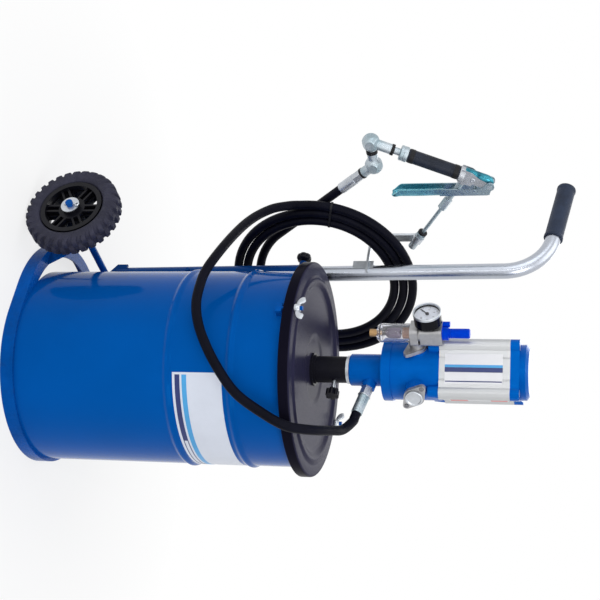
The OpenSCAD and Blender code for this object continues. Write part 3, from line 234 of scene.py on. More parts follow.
# Finishes
MID_NOISE = {"From_Min": 0.3, "From_Max": 0.7}
DIRT_NOISE = {"From_Min": 0.5, "From_Max": 0.75}
LEAST_ROUGH = 0.02
GRAIN_HEIGHT = 0.0004
MARK_HEIGHT = 0.0006


def new_node(tree, kind, **sockets):
    """A new node with the named sockets set or linked. An underscore in a name stands for a space."""
    made = tree.nodes.new(kind)
    for key, value in sockets.items():
        socket = made.inputs[key.replace("_", " ")]
        if isinstance(value, bpy.types.NodeSocket):
            tree.links.new(value, socket)
        else:
            socket.default_value = value
    return made


def mixed(tree, share, below, above):
    """A mix of two colours, each a socket or three numbers. The mix node's sockets 6 and 7 hold colours."""
    mix = tree.nodes.new("ShaderNodeMix")
    mix.data_type = "RGBA"
    tree.links.new(share, mix.inputs[0])
    for socket, colour in ((mix.inputs[6], below), (mix.inputs[7], above)):
        if isinstance(colour, bpy.types.NodeSocket):
            tree.links.new(colour, socket)
        else:
            socket.default_value = (*colour, 1)
    return mix.outputs[2]


def look(name, colour, rough, metal=0.0, cloud=8.0, shade=0.12, grain=600.0, depth=0.05, stretch=(1, 1, 1),
         uneven=0.08, clear=0.0, ior=1.5, tint=None, dirt=0.0, dirt_colour=(0.02, 0.02, 0.02), shine=0.5,
         mirror=(1.0, 1.0, 1.0)):
    """A finish: a soft cloud between two shades, an uneven gloss, a fine grain raised by bump, and dirt in
    patches. The shades are the colour less and plus a share of it, or tint in place of the second. Mirror is
    the colour of its shine."""
    mat = bpy.data.materials.new(name)
    mat.use_nodes = True
    tree = mat.node_tree
    shader = tree.nodes["Principled BSDF"]
    for socket, value in (("Metallic", metal), ("IOR", ior), ("Specular Tint", (*mirror, 1)),
                          ("Specular IOR Level", shine), ("Transmission Weight", clear)):
        shader.inputs[socket].default_value = value
    where = new_node(tree, "ShaderNodeMapping", Scale=stretch, Vector=here(tree)).outputs["Vector"]
    soft = new_node(tree, "ShaderNodeTexNoise", Vector=where, Scale=cloud, Detail=4.0, Roughness=0.6)
    fine = new_node(tree, "ShaderNodeTexNoise", Vector=where, Scale=grain, Detail=3.0, Roughness=0.6)
    spread = new_node(tree, "ShaderNodeMapRange", Value=soft.outputs["Fac"], **MID_NOISE)
    low = [c * (1 - shade) for c in colour]
    high = tint or [min(c * (1 + shade), 1) for c in colour]
    shown = mixed(tree, spread.outputs["Result"], low, high)
    if dirt:
        patch = new_node(tree, "ShaderNodeTexNoise", Vector=where, Scale=cloud * 3, Detail=8.0, Roughness=0.7)
        amount = new_node(tree, "ShaderNodeMapRange", Value=patch.outputs["Fac"], To_Max=dirt, **DIRT_NOISE)
        shown = mixed(tree, amount.outputs["Result"], shown, dirt_colour)
    tree.links.new(shown, shader.inputs["Base Color"])
    gloss = new_node(tree, "ShaderNodeMapRange", Value=fine.outputs["Fac"],
                     To_Min=max(rough - uneven, LEAST_ROUGH), To_Max=rough + uneven, **MID_NOISE)
    tree.links.new(gloss.outputs["Result"], shader.inputs["Roughness"])
    bump = new_node(tree, "ShaderNodeBump", Strength=min(depth * 4, 1.0), Distance=GRAIN_HEIGHT,
                    Height=fine.outputs["Fac"])
    tree.links.new(bump.outputs["Normal"], shader.inputs["Normal"])
    return mat


def add_wrap_marks(mat, scale, strength):
    """Fine rings round a hose: a sine wave of the given scale along V of its UV map, under the grain."""
    tree = mat.node_tree
    where = new_node(tree, "ShaderNodeTexCoord").outputs["UV"]
    wave = new_node(tree, "ShaderNodeTexWave", Vector=where, Scale=scale)
    wave.bands_direction = "Y"
    marks = new_node(tree, "ShaderNodeBump", Strength=strength, Distance=MARK_HEIGHT,
                     Height=wave.outputs["Fac"])
    grain = tree.nodes["Principled BSDF"].inputs["Normal"].links[0].from_node
    tree.links.new(marks.outputs["Normal"], grain.inputs["Normal"])


def vector_math(tree, operation, vector, other=None):
    """A node that works on a vector, and on a second one where it is given."""
    made = tree.nodes.new("ShaderNodeVectorMath")
    made.operation = operation
    tree.links.new(vector, made.inputs[0])
    if other:
        made.inputs[1].default_value = other
    return made


def here(tree):
    """The place on the object."""
    return tree.nodes.new("ShaderNodeTexCoord").outputs["Object"]


def from_axis(tree):
    """The distance from the Z axis: the length of (x, y, 0)."""
    flat = vector_math(tree, "MULTIPLY", here(tree), (1, 1, 0))
    return vector_math(tree, "LENGTH", flat.outputs["Vector"]).outputs["Value"]


def along_way(tree, way):
    """The distance along a direction: the place's dot product with it."""
    return vector_math(tree, "DOT_PRODUCT", here(tree), way).outputs["Value"]


def change_past(mat, distance, start, reach, colour):
    """Where a distance passes start, the finish takes another colour, fully so after the given reach."""
    tree = mat.node_tree
    base = tree.nodes["Principled BSDF"].inputs["Base Color"]
    step = new_node(tree, "ShaderNodeMapRange", Value=distance, From_Min=start, From_Max=start + reach)
    tree.links.new(mixed(tree, step.outputs["Result"], base.links[0].from_socket, colour), base)


ENAMEL_SHINE = (0.02, 0.4, 1.0)
drum_blue = look("blue_enamel_drum", (0.0006, 0.09, 0.39), 0.11, cloud=3, shade=0.08, grain=90, depth=0.006,
                 uneven=0.02, shine=0.4, ior=1.22, mirror=ENAMEL_SHINE)
frame_blue = look("blue_enamel_frame", (0.0015, 0.085, 0.38), 0.28, cloud=9, shade=0.2, grain=160, depth=0.05,
                  shine=0.3, dirt=0.3, ior=1.25, mirror=ENAMEL_SHINE)
column_blue = look("dark_blue_enamel", (0.003, 0.045, 0.2), 0.32, cloud=9, shade=0.2, grain=220, depth=0.04,
                   shine=0.15, mirror=ENAMEL_SHINE)
cast_blue = look("blue_enamel_on_casting", (0.0004, 0.112, 0.5), 0.17, cloud=14, shade=0.12, grain=420,
                 depth=0.1, shine=0.7, ior=1.25, mirror=ENAMEL_SHINE)
knob_blue = look("blue_moulded_plastic", (0.0005, 0.045, 0.62), 0.38, cloud=40, shade=0.1, grain=900,
                 depth=0.05, shine=0.3, mirror=ENAMEL_SHINE)
lid_grey = look("grey_enamel_lid_with_painted_skirt_shade", (0.024, 0.023, 0.05), 0.3, cloud=6, shade=0.16, grain=420, depth=0.05,
                shine=0.1, ior=1.16, mirror=(0.7, 0.7, 1.0))
sleeve_black = look("satin_black_paint", (0.005, 0.005, 0.01), 0.45, cloud=20, shade=0.3, grain=700,
                    depth=0.1, shine=0.15)
zinc = look("bright_zinc_plate", (0.55, 0.58, 0.62), 0.36, metal=0.9, cloud=35, shade=0.16, grain=500,
            depth=0.06)
gun_zinc = look("blue_zinc_plate", (0.36, 0.5, 0.56), 0.42, metal=0.8, cloud=25, shade=0.25, grain=350,
                depth=0.06, tint=(0.56, 0.6, 0.64))
lever_teal = look("teal_passivated_zinc", (0.02, 0.2, 0.29), 0.3, metal=0.85, cloud=12, shade=0.3, grain=300,
                  depth=0.02, tint=(0.22, 0.55, 0.64))
head_teal = look("dark_teal_zinc", (0.006, 0.1, 0.16), 0.3, metal=0.8, cloud=60, shade=0.3, grain=300,
                 depth=0.02, tint=(0.06, 0.36, 0.46))
plate_grey = look("grey_pressed_steel", (0.45, 0.47, 0.5), 0.45, metal=0.6, cloud=40, shade=0.2, grain=700,
                  depth=0.1)
chrome = look("polished_tube", (0.47, 0.5, 0.56), 0.3, metal=1.0, cloud=10, shade=0.1, grain=260, depth=0.02,
              stretch=(1, 1, 0.05))
cast_zinc = look("grey_die_casting", (0.4, 0.4, 0.41), 0.4, metal=0.85, cloud=50, shade=0.16, grain=900,
                 depth=0.25)
alloy = look("anodised_extrusion", (0.56, 0.57, 0.58), 0.4, metal=0.5, cloud=30, shade=0.05, grain=900,
             depth=0.05, stretch=(1, 1, 0.02))
tyre_black = look("tyre_rubber", (0.028, 0.028, 0.048), 0.62, cloud=20, shade=0.3, grain=500, depth=0.3,
                  dirt=0.4, dirt_colour=(0.07, 0.07, 0.1), shine=0.2)
hub_black = look("moulded_hub_plastic", (0.004, 0.004, 0.007), 0.4, cloud=30, shade=0.3, grain=700,
                 depth=0.15, shine=0.2)
grip_black = look("grip_rubber", (0.018, 0.028, 0.055), 0.5, cloud=30, shade=0.3, grain=900, depth=0.25,
                  shine=0.25)
gun_grip_blue = look("gun_grip_rubber", (0.008, 0.012, 0.024), 0.42, cloud=30, shade=0.5, grain=900,
                     depth=0.2, shine=0.25)
hose_black = look("hose_rubber", (0.003, 0.0033, 0.0085), 0.42, cloud=12, shade=0.4, grain=700, depth=0.2,
                  shine=0.06)
seal_black = look("seal_rubber", (0.006, 0.006, 0.008), 0.5, cloud=60, shade=0.2, grain=900, depth=0.15,
                  shine=0.25)
knob_black = look("knob_plastic", (0.005, 0.005, 0.01), 0.36, cloud=40, shade=0.2, grain=900, depth=0.1,
                  shine=0.18)
brass = look("brass_and_bronze", (0.42, 0.26, 0.12), 0.4, metal=0.8, cloud=80, shade=0.2, grain=1500,
             depth=0.3)
bronze = look("sintered_bronze", (0.3, 0.15, 0.09), 0.6, metal=0.3, cloud=120, shade=0.25, grain=2500,
              depth=0.5)
baffle_grey = look("grey_baffle_plastic", (0.12, 0.09, 0.15), 0.4, cloud=60, shade=0.3, grain=900, depth=0.1)
clear_bowl = look("clear_bowl_plastic", (0.9, 0.9, 0.93), 0.08, cloud=20, shade=0.03, grain=300, depth=0.01,
                  clear=0.95, ior=1.35, uneven=0.03)
clear_lens = look("gauge_window", (0.97, 0.98, 1.0), 0.03, cloud=20, shade=0.01, grain=200, depth=0.002,
                  clear=1.0, ior=1.2, uneven=0.01)
gauge_black = look("gauge_case_black", (0.001, 0.001, 0.004), 0.22, cloud=30, shade=0.2, grain=600,
                   depth=0.03, shine=0.12)
paper_white = look("printed_film_white", (0.7, 0.74, 0.83), 0.35, cloud=20, shade=0.03, grain=500, depth=0.02,
                   shine=0.4)
plate_white = look("printed_plate_white", (0.8, 0.8, 0.82), 0.35, cloud=20, shade=0.03, grain=500, depth=0.02,
                   shine=0.4)
band_navy = look("printed_film_dark_blue", (0.012, 0.025, 0.14), 0.35, cloud=20, shade=0.1, grain=500,
                 depth=0.02)
band_sky = look("printed_film_light_blue", (0.06, 0.36, 0.72), 0.35, cloud=20, shade=0.1, grain=500,
                depth=0.02)
stripe_red = look("printed_film_red", (0.78, 0.1, 0.1), 0.35, cloud=30, shade=0.1, grain=500, depth=0.02)
dial_white = look("dial_white", (0.72, 0.74, 0.8), 0.5, cloud=20, shade=0.03, grain=600, depth=0.01)
dial_ink = look("dial_ink", (0.012, 0.012, 0.018), 0.5, cloud=60, shade=0.1, grain=600, depth=0.01)
lead_grey = look("matt_steel", (0.2, 0.2, 0.22), 0.5, metal=0.7, cloud=60, shade=0.3, grain=900, depth=0.2)

# Painted shade: past this radius the lid's skirt turns from its grey to near black, a darker copy of the same
# paint that stands in for the shade on it.
LID_SKIRT_SHADE_FROM, SKIRT_SHADE_REACH = 0.2013, 0.001
change_past(lid_grey, from_axis(lid_grey.node_tree), LID_SKIRT_SHADE_FROM, SKIRT_SHADE_REACH, (0.006, 0.0055, 0.012))
add_wrap_marks(hose_black, 260.0, 0.25)
NODE_LOOKS = {
    drum_blue: "drum_shell",
    frame_blue: "base_frame lid_studs axle_rod",
    column_blue: "column_tube",
    cast_blue: "pump_body valve_housing top_cap",
    knob_blue: "regulator_bonnet regulator_knob",
    lid_grey: "lid",
    sleeve_black: "lid_adapter",
    zinc: """wheel_washers cotter_pins wing_nut_left wing_nut_right hose_hanger pump_collar suction_tube
          foot_valve outlet_fitting lead_ferrule tail_ferrule tie_bolts piston_rod""",
    gun_zinc: """swivel_hose_elbow swivel_gun_elbow gun_inlet gun_body gun_outlet gun_coupler gun_lever
              lever_pin valve_stem""",
    chrome: "handle_tube",
    cast_zinc: "regulator_body inlet_flange exhaust_muffler",
    alloy: "motor_cylinder air_piston",
    tyre_black: "tyre_left tyre_right",
    hub_black: "hub_left hub_right",
    grip_black: "handle_grip gun_grip",
    hose_black: "hose_lead hose_coil hose_tail",
    seal_black: "lid_gasket swivel_seals follower_plate",
    knob_black: "handle_knob pump_knob",
    brass: "filter_element bowl_drain",
    clear_bowl: "filter_bowl",
    clear_lens: "gauge_lens",
    gauge_black: "gauge_case",
    dial_ink: "gauge_needle",
}
for mat, names in NODE_LOOKS.items():
    for name in names.split():
        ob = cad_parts[name]
        ob.data.materials.clear()
        ob.data.materials.append(mat)

# Camera, floor and light
# The photograph shows the object lying on its side, so what is up on it runs across the picture
LOOK = Vector((0.78005, 0.57324, -0.25089))
RIGHT = Vector((0.59218, -0.80582, 0))
UP = Vector((0.20217, 0.14857, 0.96804))
ROLL = math.radians(0.23)
CAMERA_AT = (-2.07381, -1.36187, 1.168)
FOCAL_LENGTH, SENSOR_WIDTH = 81, 36
across = UP * math.cos(ROLL) - RIGHT * math.sin(ROLL)
upright = -(UP * math.sin(ROLL) + RIGHT * math.cos(ROLL))
lens = bpy.data.cameras.new("camera")
lens.lens = FOCAL_LENGTH
lens.sensor_width = SENSOR_WIDTH
lens.sensor_fit = "HORIZONTAL"
camera = bpy.data.objects.new("camera", lens)
bpy.context.collection.objects.link(camera)
turn = Matrix((across, upright, -LOOK)).transposed().to_4x4()
camera.matrix_world = Matrix.Translation(CAMERA_AT) @ turn
bpy.context.scene.camera = camera
bpy.context.scene.view_settings.view_transform = "Standard"

HALF_FLOOR, FLOOR_DROP = 30, 0.0005
SHADOW_NEAR, SHADOW_FAR, NEAR_WHITE = 0.3, 0.9, 0.75
WORLD_LIGHT = 0.4
WHITE = (1, 1, 1, 1)


def worked(tree, operation, a, b):
    """The result of an operation on two values."""
    made = tree.nodes.new("ShaderNodeMath")
    made.operation = operation
    tree.links.new(a, made.inputs[0])
    tree.links.new(b, made.inputs[1])
    return made.outputs["Value"]


def white_for_view(tree, shader_socket, out_socket, share=None):
    """Shows plain white to the camera, mirrors and glass, and the given shader to everything else. The part
    of white is the largest of the three kinds of ray, times a share where one is given."""
    path = tree.nodes.new("ShaderNodeLightPath")
    seen = path.outputs["Is Camera Ray"]
    for other in ("Is Glossy Ray", "Is Transmission Ray"):
        seen = worked(tree, "MAXIMUM", seen, path.outputs[other])
    if share:
        seen = worked(tree, "MULTIPLY", seen, share)
    glow = tree.nodes.new("ShaderNodeBackground" if out_socket.node.bl_idname == "ShaderNodeOutputWorld"
                          else "ShaderNodeEmission")
    glow.inputs["Color"].default_value = WHITE
    mix = tree.nodes.new("ShaderNodeMixShader")
    tree.links.new(seen, mix.inputs[0])
    tree.links.new(shader_socket, mix.inputs[1])
    tree.links.new(glow.outputs[0], mix.inputs[2])
    tree.links.new(mix.outputs[0], out_socket)


world = bpy.data.worlds.new("studio")
bpy.context.scene.world = world
world.use_nodes = True
background = world.node_tree.nodes["Background"]
background.inputs["Color"].default_value = (0.94, 0.96, 1.0, 1)
background.inputs["Strength"].default_value = WORLD_LIGHT
sky_out = world.node_tree.nodes["World Output"].inputs["Surface"]
white_for_view(world.node_tree, background.outputs[0], sky_out)

mesh = bpy.data.meshes.new("floor")
corners = [(x * HALF_FLOOR, y * HALF_FLOOR, 0) for x, y in ((-1, -1), (1, -1), (1, 1), (-1, 1))]
mesh.from_pydata(corners, [], [(0, 1, 2, 3)])
floor = bpy.data.objects.new("floor", mesh)
bpy.context.collection.objects.link(floor)
floor.location.z = -FLOOR_DROP
pale = bpy.data.materials.new("pale_floor")
pale.use_nodes = True
tree = pale.node_tree
matt = tree.nodes["Principled BSDF"]
matt.inputs["Base Color"].default_value = (0.93, 0.93, 0.93, 1)
matt.inputs["Roughness"].default_value = 0.9
far = vector_math(tree, "LENGTH", here(tree)).outputs["Value"]
paling = new_node(tree, "ShaderNodeMapRange", Value=far, From_Min=SHADOW_NEAR, From_Max=SHADOW_FAR,
                  To_Min=NEAR_WHITE)
white_for_view(tree, matt.outputs[0], tree.nodes["Material Output"].inputs["Surface"],
               paling.outputs["Result"])
mesh.materials.append(pale)


def lamp(name, place, aim, size, power, tall=None, colour=(1, 1, 1)):
    """A soft rectangular lamp at place that shines towards aim."""
    data = bpy.data.lights.new(name, "AREA")
    data.shape = "RECTANGLE"
    data.size, data.size_y = size, tall or size
    data.energy = power
    data.color = colour
    ob = bpy.data.objects.new(name, data)
    bpy.context.collection.objects.link(ob)
    ob.location = place
    ob.rotation_euler = (Vector(aim) - Vector(place)).to_track_quat("-Z", "Y").to_euler()


CENTRE = (0, 0.05, 0.5)
lamp("key", (-1.2, -3.2, 2.6), CENTRE, size=1.6, power=46)
lamp("fill", (-3.4, 0.9, 1.6), CENTRE, size=2.2, power=22, colour=(0.94, 0.97, 1.0))
lamp("top", (-0.4, 0.2, 3.4), CENTRE, size=2.4, power=24)
lamp("back", (2.6, 2.2, 2.0), CENTRE, size=2.0, power=20)
lamp("strip", (-2.95, -1.23, 1.1), (0, 0, 0.45), size=0.12, power=11, tall=2.4)

# Hose
# The coil and the gun lie in a plane behind the drum, with U along it, V out of it and Z up
HOSE_R = 0.009
STORE = Place((0, 0.268, 0), turned(z=-14))
GUN_V = 0.024
LEAD_ROUTE = [
    (0, -0.0953, 0.6481), (0, -0.104, 0.6459), (0, -0.113, 0.6435), (-0.014, -0.139, 0.631),
    (-0.042, -0.158, 0.618), (-0.084, -0.183, 0.592), (-0.112, -0.192, 0.552), (-0.134, -0.174, 0.503),
    (-0.153, -0.154, 0.466), (-0.173, -0.126, 0.438), (-0.195, -0.088, 0.411), (-0.21, -0.046, 0.39),
    (-0.219, -0.004, 0.38), (-0.222, 0.041, 0.381), (-0.223, 0.066, 0.386), (-0.221, 0.092, 0.394),
    (-0.21, 0.134, 0.405), (-0.193, 0.178, 0.415), (-0.175, 0.218, 0.426), (-0.158, 0.251, 0.44),
    (-0.143, 0.278, 0.46), (-0.129, 0.296, 0.484), (-0.1262, 0.2994, 0.4947), (-0.1261, 0.2995, 0.5037),
]
COIL_U, COIL_Z, COIL_TURNS, COIL_SHIFT = 0.06, 0.522, 2.8975, 2.6
COIL_R, COIL_PITCH, COIL_SQUEEZE = 0.19, 0.0186, 0.0065
TAIL_REACH, TAIL_SLANT = 0.0883, math.radians(143.13)
LOW_ELBOW = (-0.204, GUN_V, 0.658)
LEAD_STEPS, LEAD_SPLIT = 8, 13


def coil_points(t):
    """The coil t turns along, at an angle of 180 - 360 t degrees. Its radius is 190 - 18.6 t mm, less 6.5 mm
    times an eased step over the last half turn. A second eased step moves its end 24 mm out of its plane."""
    r = COIL_R - COIL_PITCH * t - COIL_SQUEEZE * smooth((t - COIL_TURNS + 0.5) * 2)
    a = np.radians(180 - 360 * t)
    v = GUN_V * smooth((t - COIL_SHIFT) / (COIL_TURNS - COIL_SHIFT))
    return np.column_stack([COIL_U + r * np.cos(a), v, COIL_Z + r * np.sin(a)])


def hose(name, path, body=None, across=(1, 0, 0), **facts):
    """One stretch of hose: a circle carried along the path. Its cord's facts are not used."""
    ob = piece(name, [tube(path, HOSE_R, 24, across)], hose_black, body)
    return ob


lead = spline(LEAD_ROUTE, LEAD_STEPS)
cut = LEAD_STEPS * LEAD_SPLIT
front = hose("hose_lead_front", lead[: cut + 1], far_end="object", lay="loose")
rear = hose("hose_lead_rear", lead[cut:], far_end="object", lay="loose")
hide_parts("hose_lead")
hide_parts("hose_lead")
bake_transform(front)
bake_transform(rear)


def straight(a, b, count):
    """Count points from a to b in equal steps."""
    return a + (b - a) * np.linspace(0, 1, count)[:, None]


turns = coil_points(np.linspace(0, COIL_TURNS, 260))
first, last = turns[0], turns[-1]
tail_way = np.array([-math.sin(TAIL_SLANT), 0, -math.cos(TAIL_SLANT)])
tail_start = last + 2 * HOSE_R * tail_way
tail_end = np.array(LOW_ELBOW) - TAIL_REACH * tail_way
coil_path = np.vstack([straight(first - [0, 0, 2 * HOSE_R], first, 5)[:-1], turns,
                       straight(last, tail_start, 4)[1:], straight(tail_start, tail_end, 24)[1:]])
coil = hose("hose_loops", STORE.put(coil_path), "handle", far_end="object", lay="coiled",
            across=(0.2, 0.9, 0))
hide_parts("hose_coil", "hose_tail")

# Wheels
SIDES = ((-1, "left"), (1, "right"))
LUGS, STEPS_IN_LUG = 30, 20
WHEEL_X, AXLE_Y, WHEEL_R = 0.231, 0.2, 0.0925
CASING_HALF, CASING_TALL, CASING_R = 0.0205, 0.0135, 0.0745
TREAD_HALF, BEAD_R, LUG_HEIGHT, LUG_OUT = 0.021, 0.0611, 0.0056, 0.0018


def tyre_skin(side):
    """A ring about the axle. The casing's section is a rounded box: its half width and height times a sine
    and a cosine to the power 0.62. On each side of the middle a row of lugs is raised by an eased pulse of
    the angle, the two rows half a pitch apart, and curves back down the side wall."""
    a = around(LUGS * STEPS_IN_LUG)
    s = around(72)
    x = CASING_HALF * boxy(np.sin(s), 0.62)
    r = np.maximum(CASING_R + CASING_TALL * boxy(np.cos(s), 0.62), BEAD_R)
    to_side = np.abs(np.sin(s))
    outside = smooth((np.cos(s) + 0.25) / 0.35)
    row = np.where(x >= 0, 0.0, 0.5)
    curve_back = 0.33 * smooth((to_side - 0.55) / 0.45) * (1 - np.cos(s))
    wave = 0.5 + 0.5 * np.cos(TAU * (a[:, None] * LUGS / TAU + row + curve_back))
    lug = smooth((wave - 0.28) / 0.3) * outside
    rib = np.where(np.abs(x) < 0.002, 0.6, 1.0)
    ring = np.minimum(r + LUG_HEIGHT * lug * rib * np.maximum(np.cos(s), 0) ** 0.5, WHEEL_R)
    along = np.clip(x + np.sign(x) * LUG_OUT * lug * to_side, -TREAD_HALF, TREAD_HALF)
    points = np.stack([along, ring * np.cos(a)[:, None], ring * np.sin(a)[:, None]], -1)
    return shell(Place((side * WHEEL_X, AXLE_Y, WHEEL_R)).put(points), wrap_u=True)


for side, name in SIDES:
    piece(f"treaded_tyre_{name}", [tyre_skin(side)], tyre_black, f"wheel_{name}",
          [f"tyre_{name}"], crease=60)

# Drum
DRUM_R, WALL, RING_H = 0.185, 0.0015, 0.0254
BEADS, BEAD_HEIGHT, BEAD_HALF = (0.325, 0.4435), 0.004, 0.009
FILM_GAP = 0.00002
ROLL_R, ROLL_AT = 0.004, (0.1875, 0.5484)


def bead(z):
    """Radius gained at height z: each bead is an eased step up and down, 4 mm high and 18 mm wide."""
    return sum(BEAD_HEIGHT * smooth(1 - np.abs(z - mid) / BEAD_HALF) for mid in BEADS)


def drum_profile():
    """The wall's outside up to the rolled rim, round the roll, and down the inside."""
    near_beads = [np.linspace(mid - 0.01, mid + 0.01, 25) for mid in BEADS]
    z = np.unique(np.concatenate([np.linspace(RING_H, 0.5445, 40)] + near_beads))
    outer = np.column_stack([DRUM_R + bead(z), z])
    a = np.radians(np.linspace(-128, 172, 24))
    roll = np.column_stack([ROLL_AT[0] + ROLL_R * np.cos(a), ROLL_AT[1] + ROLL_R * np.sin(a)])
    inner = outer[::-1] - [WALL, 0]
    return np.vstack([outer, roll, inner[inner[:, 1] < 0.54]])


floor_disc = [(0.02, 0.0334), (0.1838, 0.0334), (0.1838, 0.0349), (0.02, 0.0349)]
piece("drum_wall_and_floor", [revolve(drum_profile(), count=288, wrap=True), revolve(floor_disc, count=192)],
      drum_blue, "root", ["drum_shell"])


def wrap_film(name, finish, az, z, proud=0.0003, steps=120):
    """A film on the drum between two directions (degrees) and two heights, proud of the wall."""
    a = np.radians(np.linspace(*az, steps))
    r_in, r_out = DRUM_R + FILM_GAP, DRUM_R + proud
    loop = np.array([(r_in, z[0]), (r_out, z[0]), (r_out, z[1]), (r_in, z[1])])
    points = np.stack([loop[None, :, 0] * np.cos(a)[:, None], loop[None, :, 0] * np.sin(a)[:, None],
                       np.ones((steps, 1)) * loop[None, :, 1]], -1)
    piece(name, [shell(points)], finish, "root")


wrap_film("label_panel_on_drum", paper_white, (216.2, 330), (0.3365, 0.4295))
wrap_film("label_band_light", band_sky, (217.5, 328.5), (0.3545, 0.3635), 0.0005)
wrap_film("label_band_dark", band_navy, (217.5, 260), (0.3413, 0.3505), 0.0005)
wrap_film("label_line_low", band_navy, (260, 328.5), (0.3413, 0.3428), 0.0005)
wrap_film("label_line_high", band_navy, (260, 328.5), (0.3488, 0.3505), 0.0005)

# Lid
LID_Z, LID_FLAT_R, LID_T, EDGE_R = 0.5574, 0.1985, 0.002, 0.0042


def lid_skin():
    """The pressed lid. Its top runs from the well out over the dish and the raised ring, round a quarter
    circle at the edge and down the skirt. Its underside keeps 2 mm from that."""
    top = [(0.0272, -0.005), (0.0575, -0.005), (0.068, -0.003), (0.147, -0.003), (0.156, -0.0018),
           (0.1625, 0.0014), (0.166, 0.003), (0.172, 0.003), (0.1755, 0.0012), (0.179, 0.0),
           (LID_FLAT_R, 0.0)]
    skirt = [(0.2027, -0.0192), (0.2022, -0.0199), (0.2012, -0.0199), (0.2008, -0.0192)]
    a = np.radians(np.linspace(90, 0, 7))
    edge = np.column_stack([LID_FLAT_R + EDGE_R * np.cos(a), EDGE_R * np.sin(a) - EDGE_R])
    a = np.radians(np.linspace(0, 90, 5))
    inner_r = EDGE_R - LID_T
    under = np.column_stack([LID_FLAT_R + inner_r * np.cos(a), inner_r * np.sin(a) - EDGE_R])
    back = np.array(top[::-1][1:]) - [0, LID_T]
    profile = np.vstack([rounded(top, 0.003, 4), edge[1:], skirt, under, back]) + [0, LID_Z]
    return revolve(profile, count=256, wrap=True)


piece("lid_sheet", [lid_skin()], lid_grey, "root", ["lid"], crease=30)

STUD_AT, WING_STEPS = 0.1962, 14


def wing_skin(place, side):
    """A wing: a rounded slab 4 mm thick, carried on edge along an arc that leaves the hub and turns upwards.
    The arc goes out by a sine and up by 1 less a cosine. The slab is narrow at its root and deep at its blunt
    end."""
    t = np.linspace(0, 1, WING_STEPS)
    x = 0.0045 + 0.0145 * np.sin(t * 1.35) / math.sin(1.35)
    z = 0.0048 + 0.0122 * (1 - np.cos(t * 1.45)) / (1 - math.cos(1.45))
    path = np.column_stack([side * x, np.zeros(WING_STEPS), z])
    level, up = carried(path, np.array([0.0, 1.0, 0.0]))
    half_tall = 0.003 + 0.0032 * smooth(t * 1.3) - 0.0016 * smooth((t - 0.85) / 0.15)
    half_thick = 0.002 - 0.0006 * smooth((t - 0.8) / 0.2)
    a = around(28)
    ring = (half_thick[:, None, None] * boxy(np.cos(a), 0.55)[None, :, None] * level[:, None]
            + half_tall[:, None, None] * boxy(np.sin(a), 0.55)[None, :, None] * up[:, None])
    return shell(place.put(path[:, None] + ring))


hub = rounded([(0.00415, 0.0001), (0.0078, 0.0001), (0.0079, 0.004), (0.0066, 0.0098), (0.00415, 0.0102),
               (0.00415, 0.0001)], 0.0008)
for side, name in SIDES:
    nut = Place((side * STUD_AT, 0, LID_Z), turned(z=90))
    piece(f"pressed_wing_nut_{name}", [revolve(hub, nut, 48), wing_skin(nut, -1), wing_skin(nut, 1)], zinc,
          f"wing_nut_{name}", [f"wing_nut_{name}"])

# Handle knob
COLUMN = Place((0, 0.22, 0.1045), turned(x=-0.95))
KNOB = COLUMN.at((0, 0.0151, 0.3896), turned(x=-90))
KNOB_FROM = 0.0175


def star_skin(place, radius, depth, lobes, base):
    """A moulded star knob with a full crown. For n lobes its radius is r (1 + 0.08 b), where b is
    2 |cos(n a / 2)|^0.7 - 1. Along its depth it grows and shrinks by a list of shares, and the lobes level
    out where it is small."""
    h = np.array([0, 0.06, 0.14, 0.3, 0.55, 0.78, 0.92, 0.99, 1.0])
    grow = np.array([0.62, 0.78, 0.9, 0.99, 1.0, 0.96, 0.8, 0.5, 0.1])[:, None]
    a = around(144)
    star = 0.08 * (np.abs(np.cos(lobes / 2 * a)) ** 0.7 * 2 - 1)
    r = radius * grow * (1 + star[None, :] * np.clip(grow * 1.2 - 0.2, 0, 1))
    return shell(place.put(rings(r, a, base + depth * h)))


knob_crown = star_skin(KNOB, radius=0.0138, depth=0.0155, lobes=6, base=KNOB_FROM)
knob_stem = rounded([(0, 0.0002), (0.0039, 0.0002), (0.0039, KNOB_FROM + 0.002), (0, KNOB_FROM + 0.002)],
                    0.0003)
piece("handle_star_knob", [knob_crown, revolve(knob_stem, KNOB, 32)], knob_black, "handle_knob",
      ["handle_knob"])


# Motor plate and stripe
def facing(az, out, z):
    """A frame on a wall that faces direction az (degrees): x to the viewer's right, y up and z outwards."""
    c, d = math.cos(math.radians(az)), math.sin(math.radians(az))
    return Place((out * c, out * d, z), [(-d, c, 0), (0, 0, 1), (c, d, 0)])


def film_on_face(name, finish, place, x, y, proud, r=0.0006):
    """A flat film between two places across and two heights on a face, with small round corners."""
    mid = np.array([sum(x), sum(y)]) / 2
    outline = rounded_box(x[1] - x[0], y[1] - y[0], r) + mid
    piece(name, [slab(outline, 0.00003, proud, place, edge=0.00008)], finish, "pump")


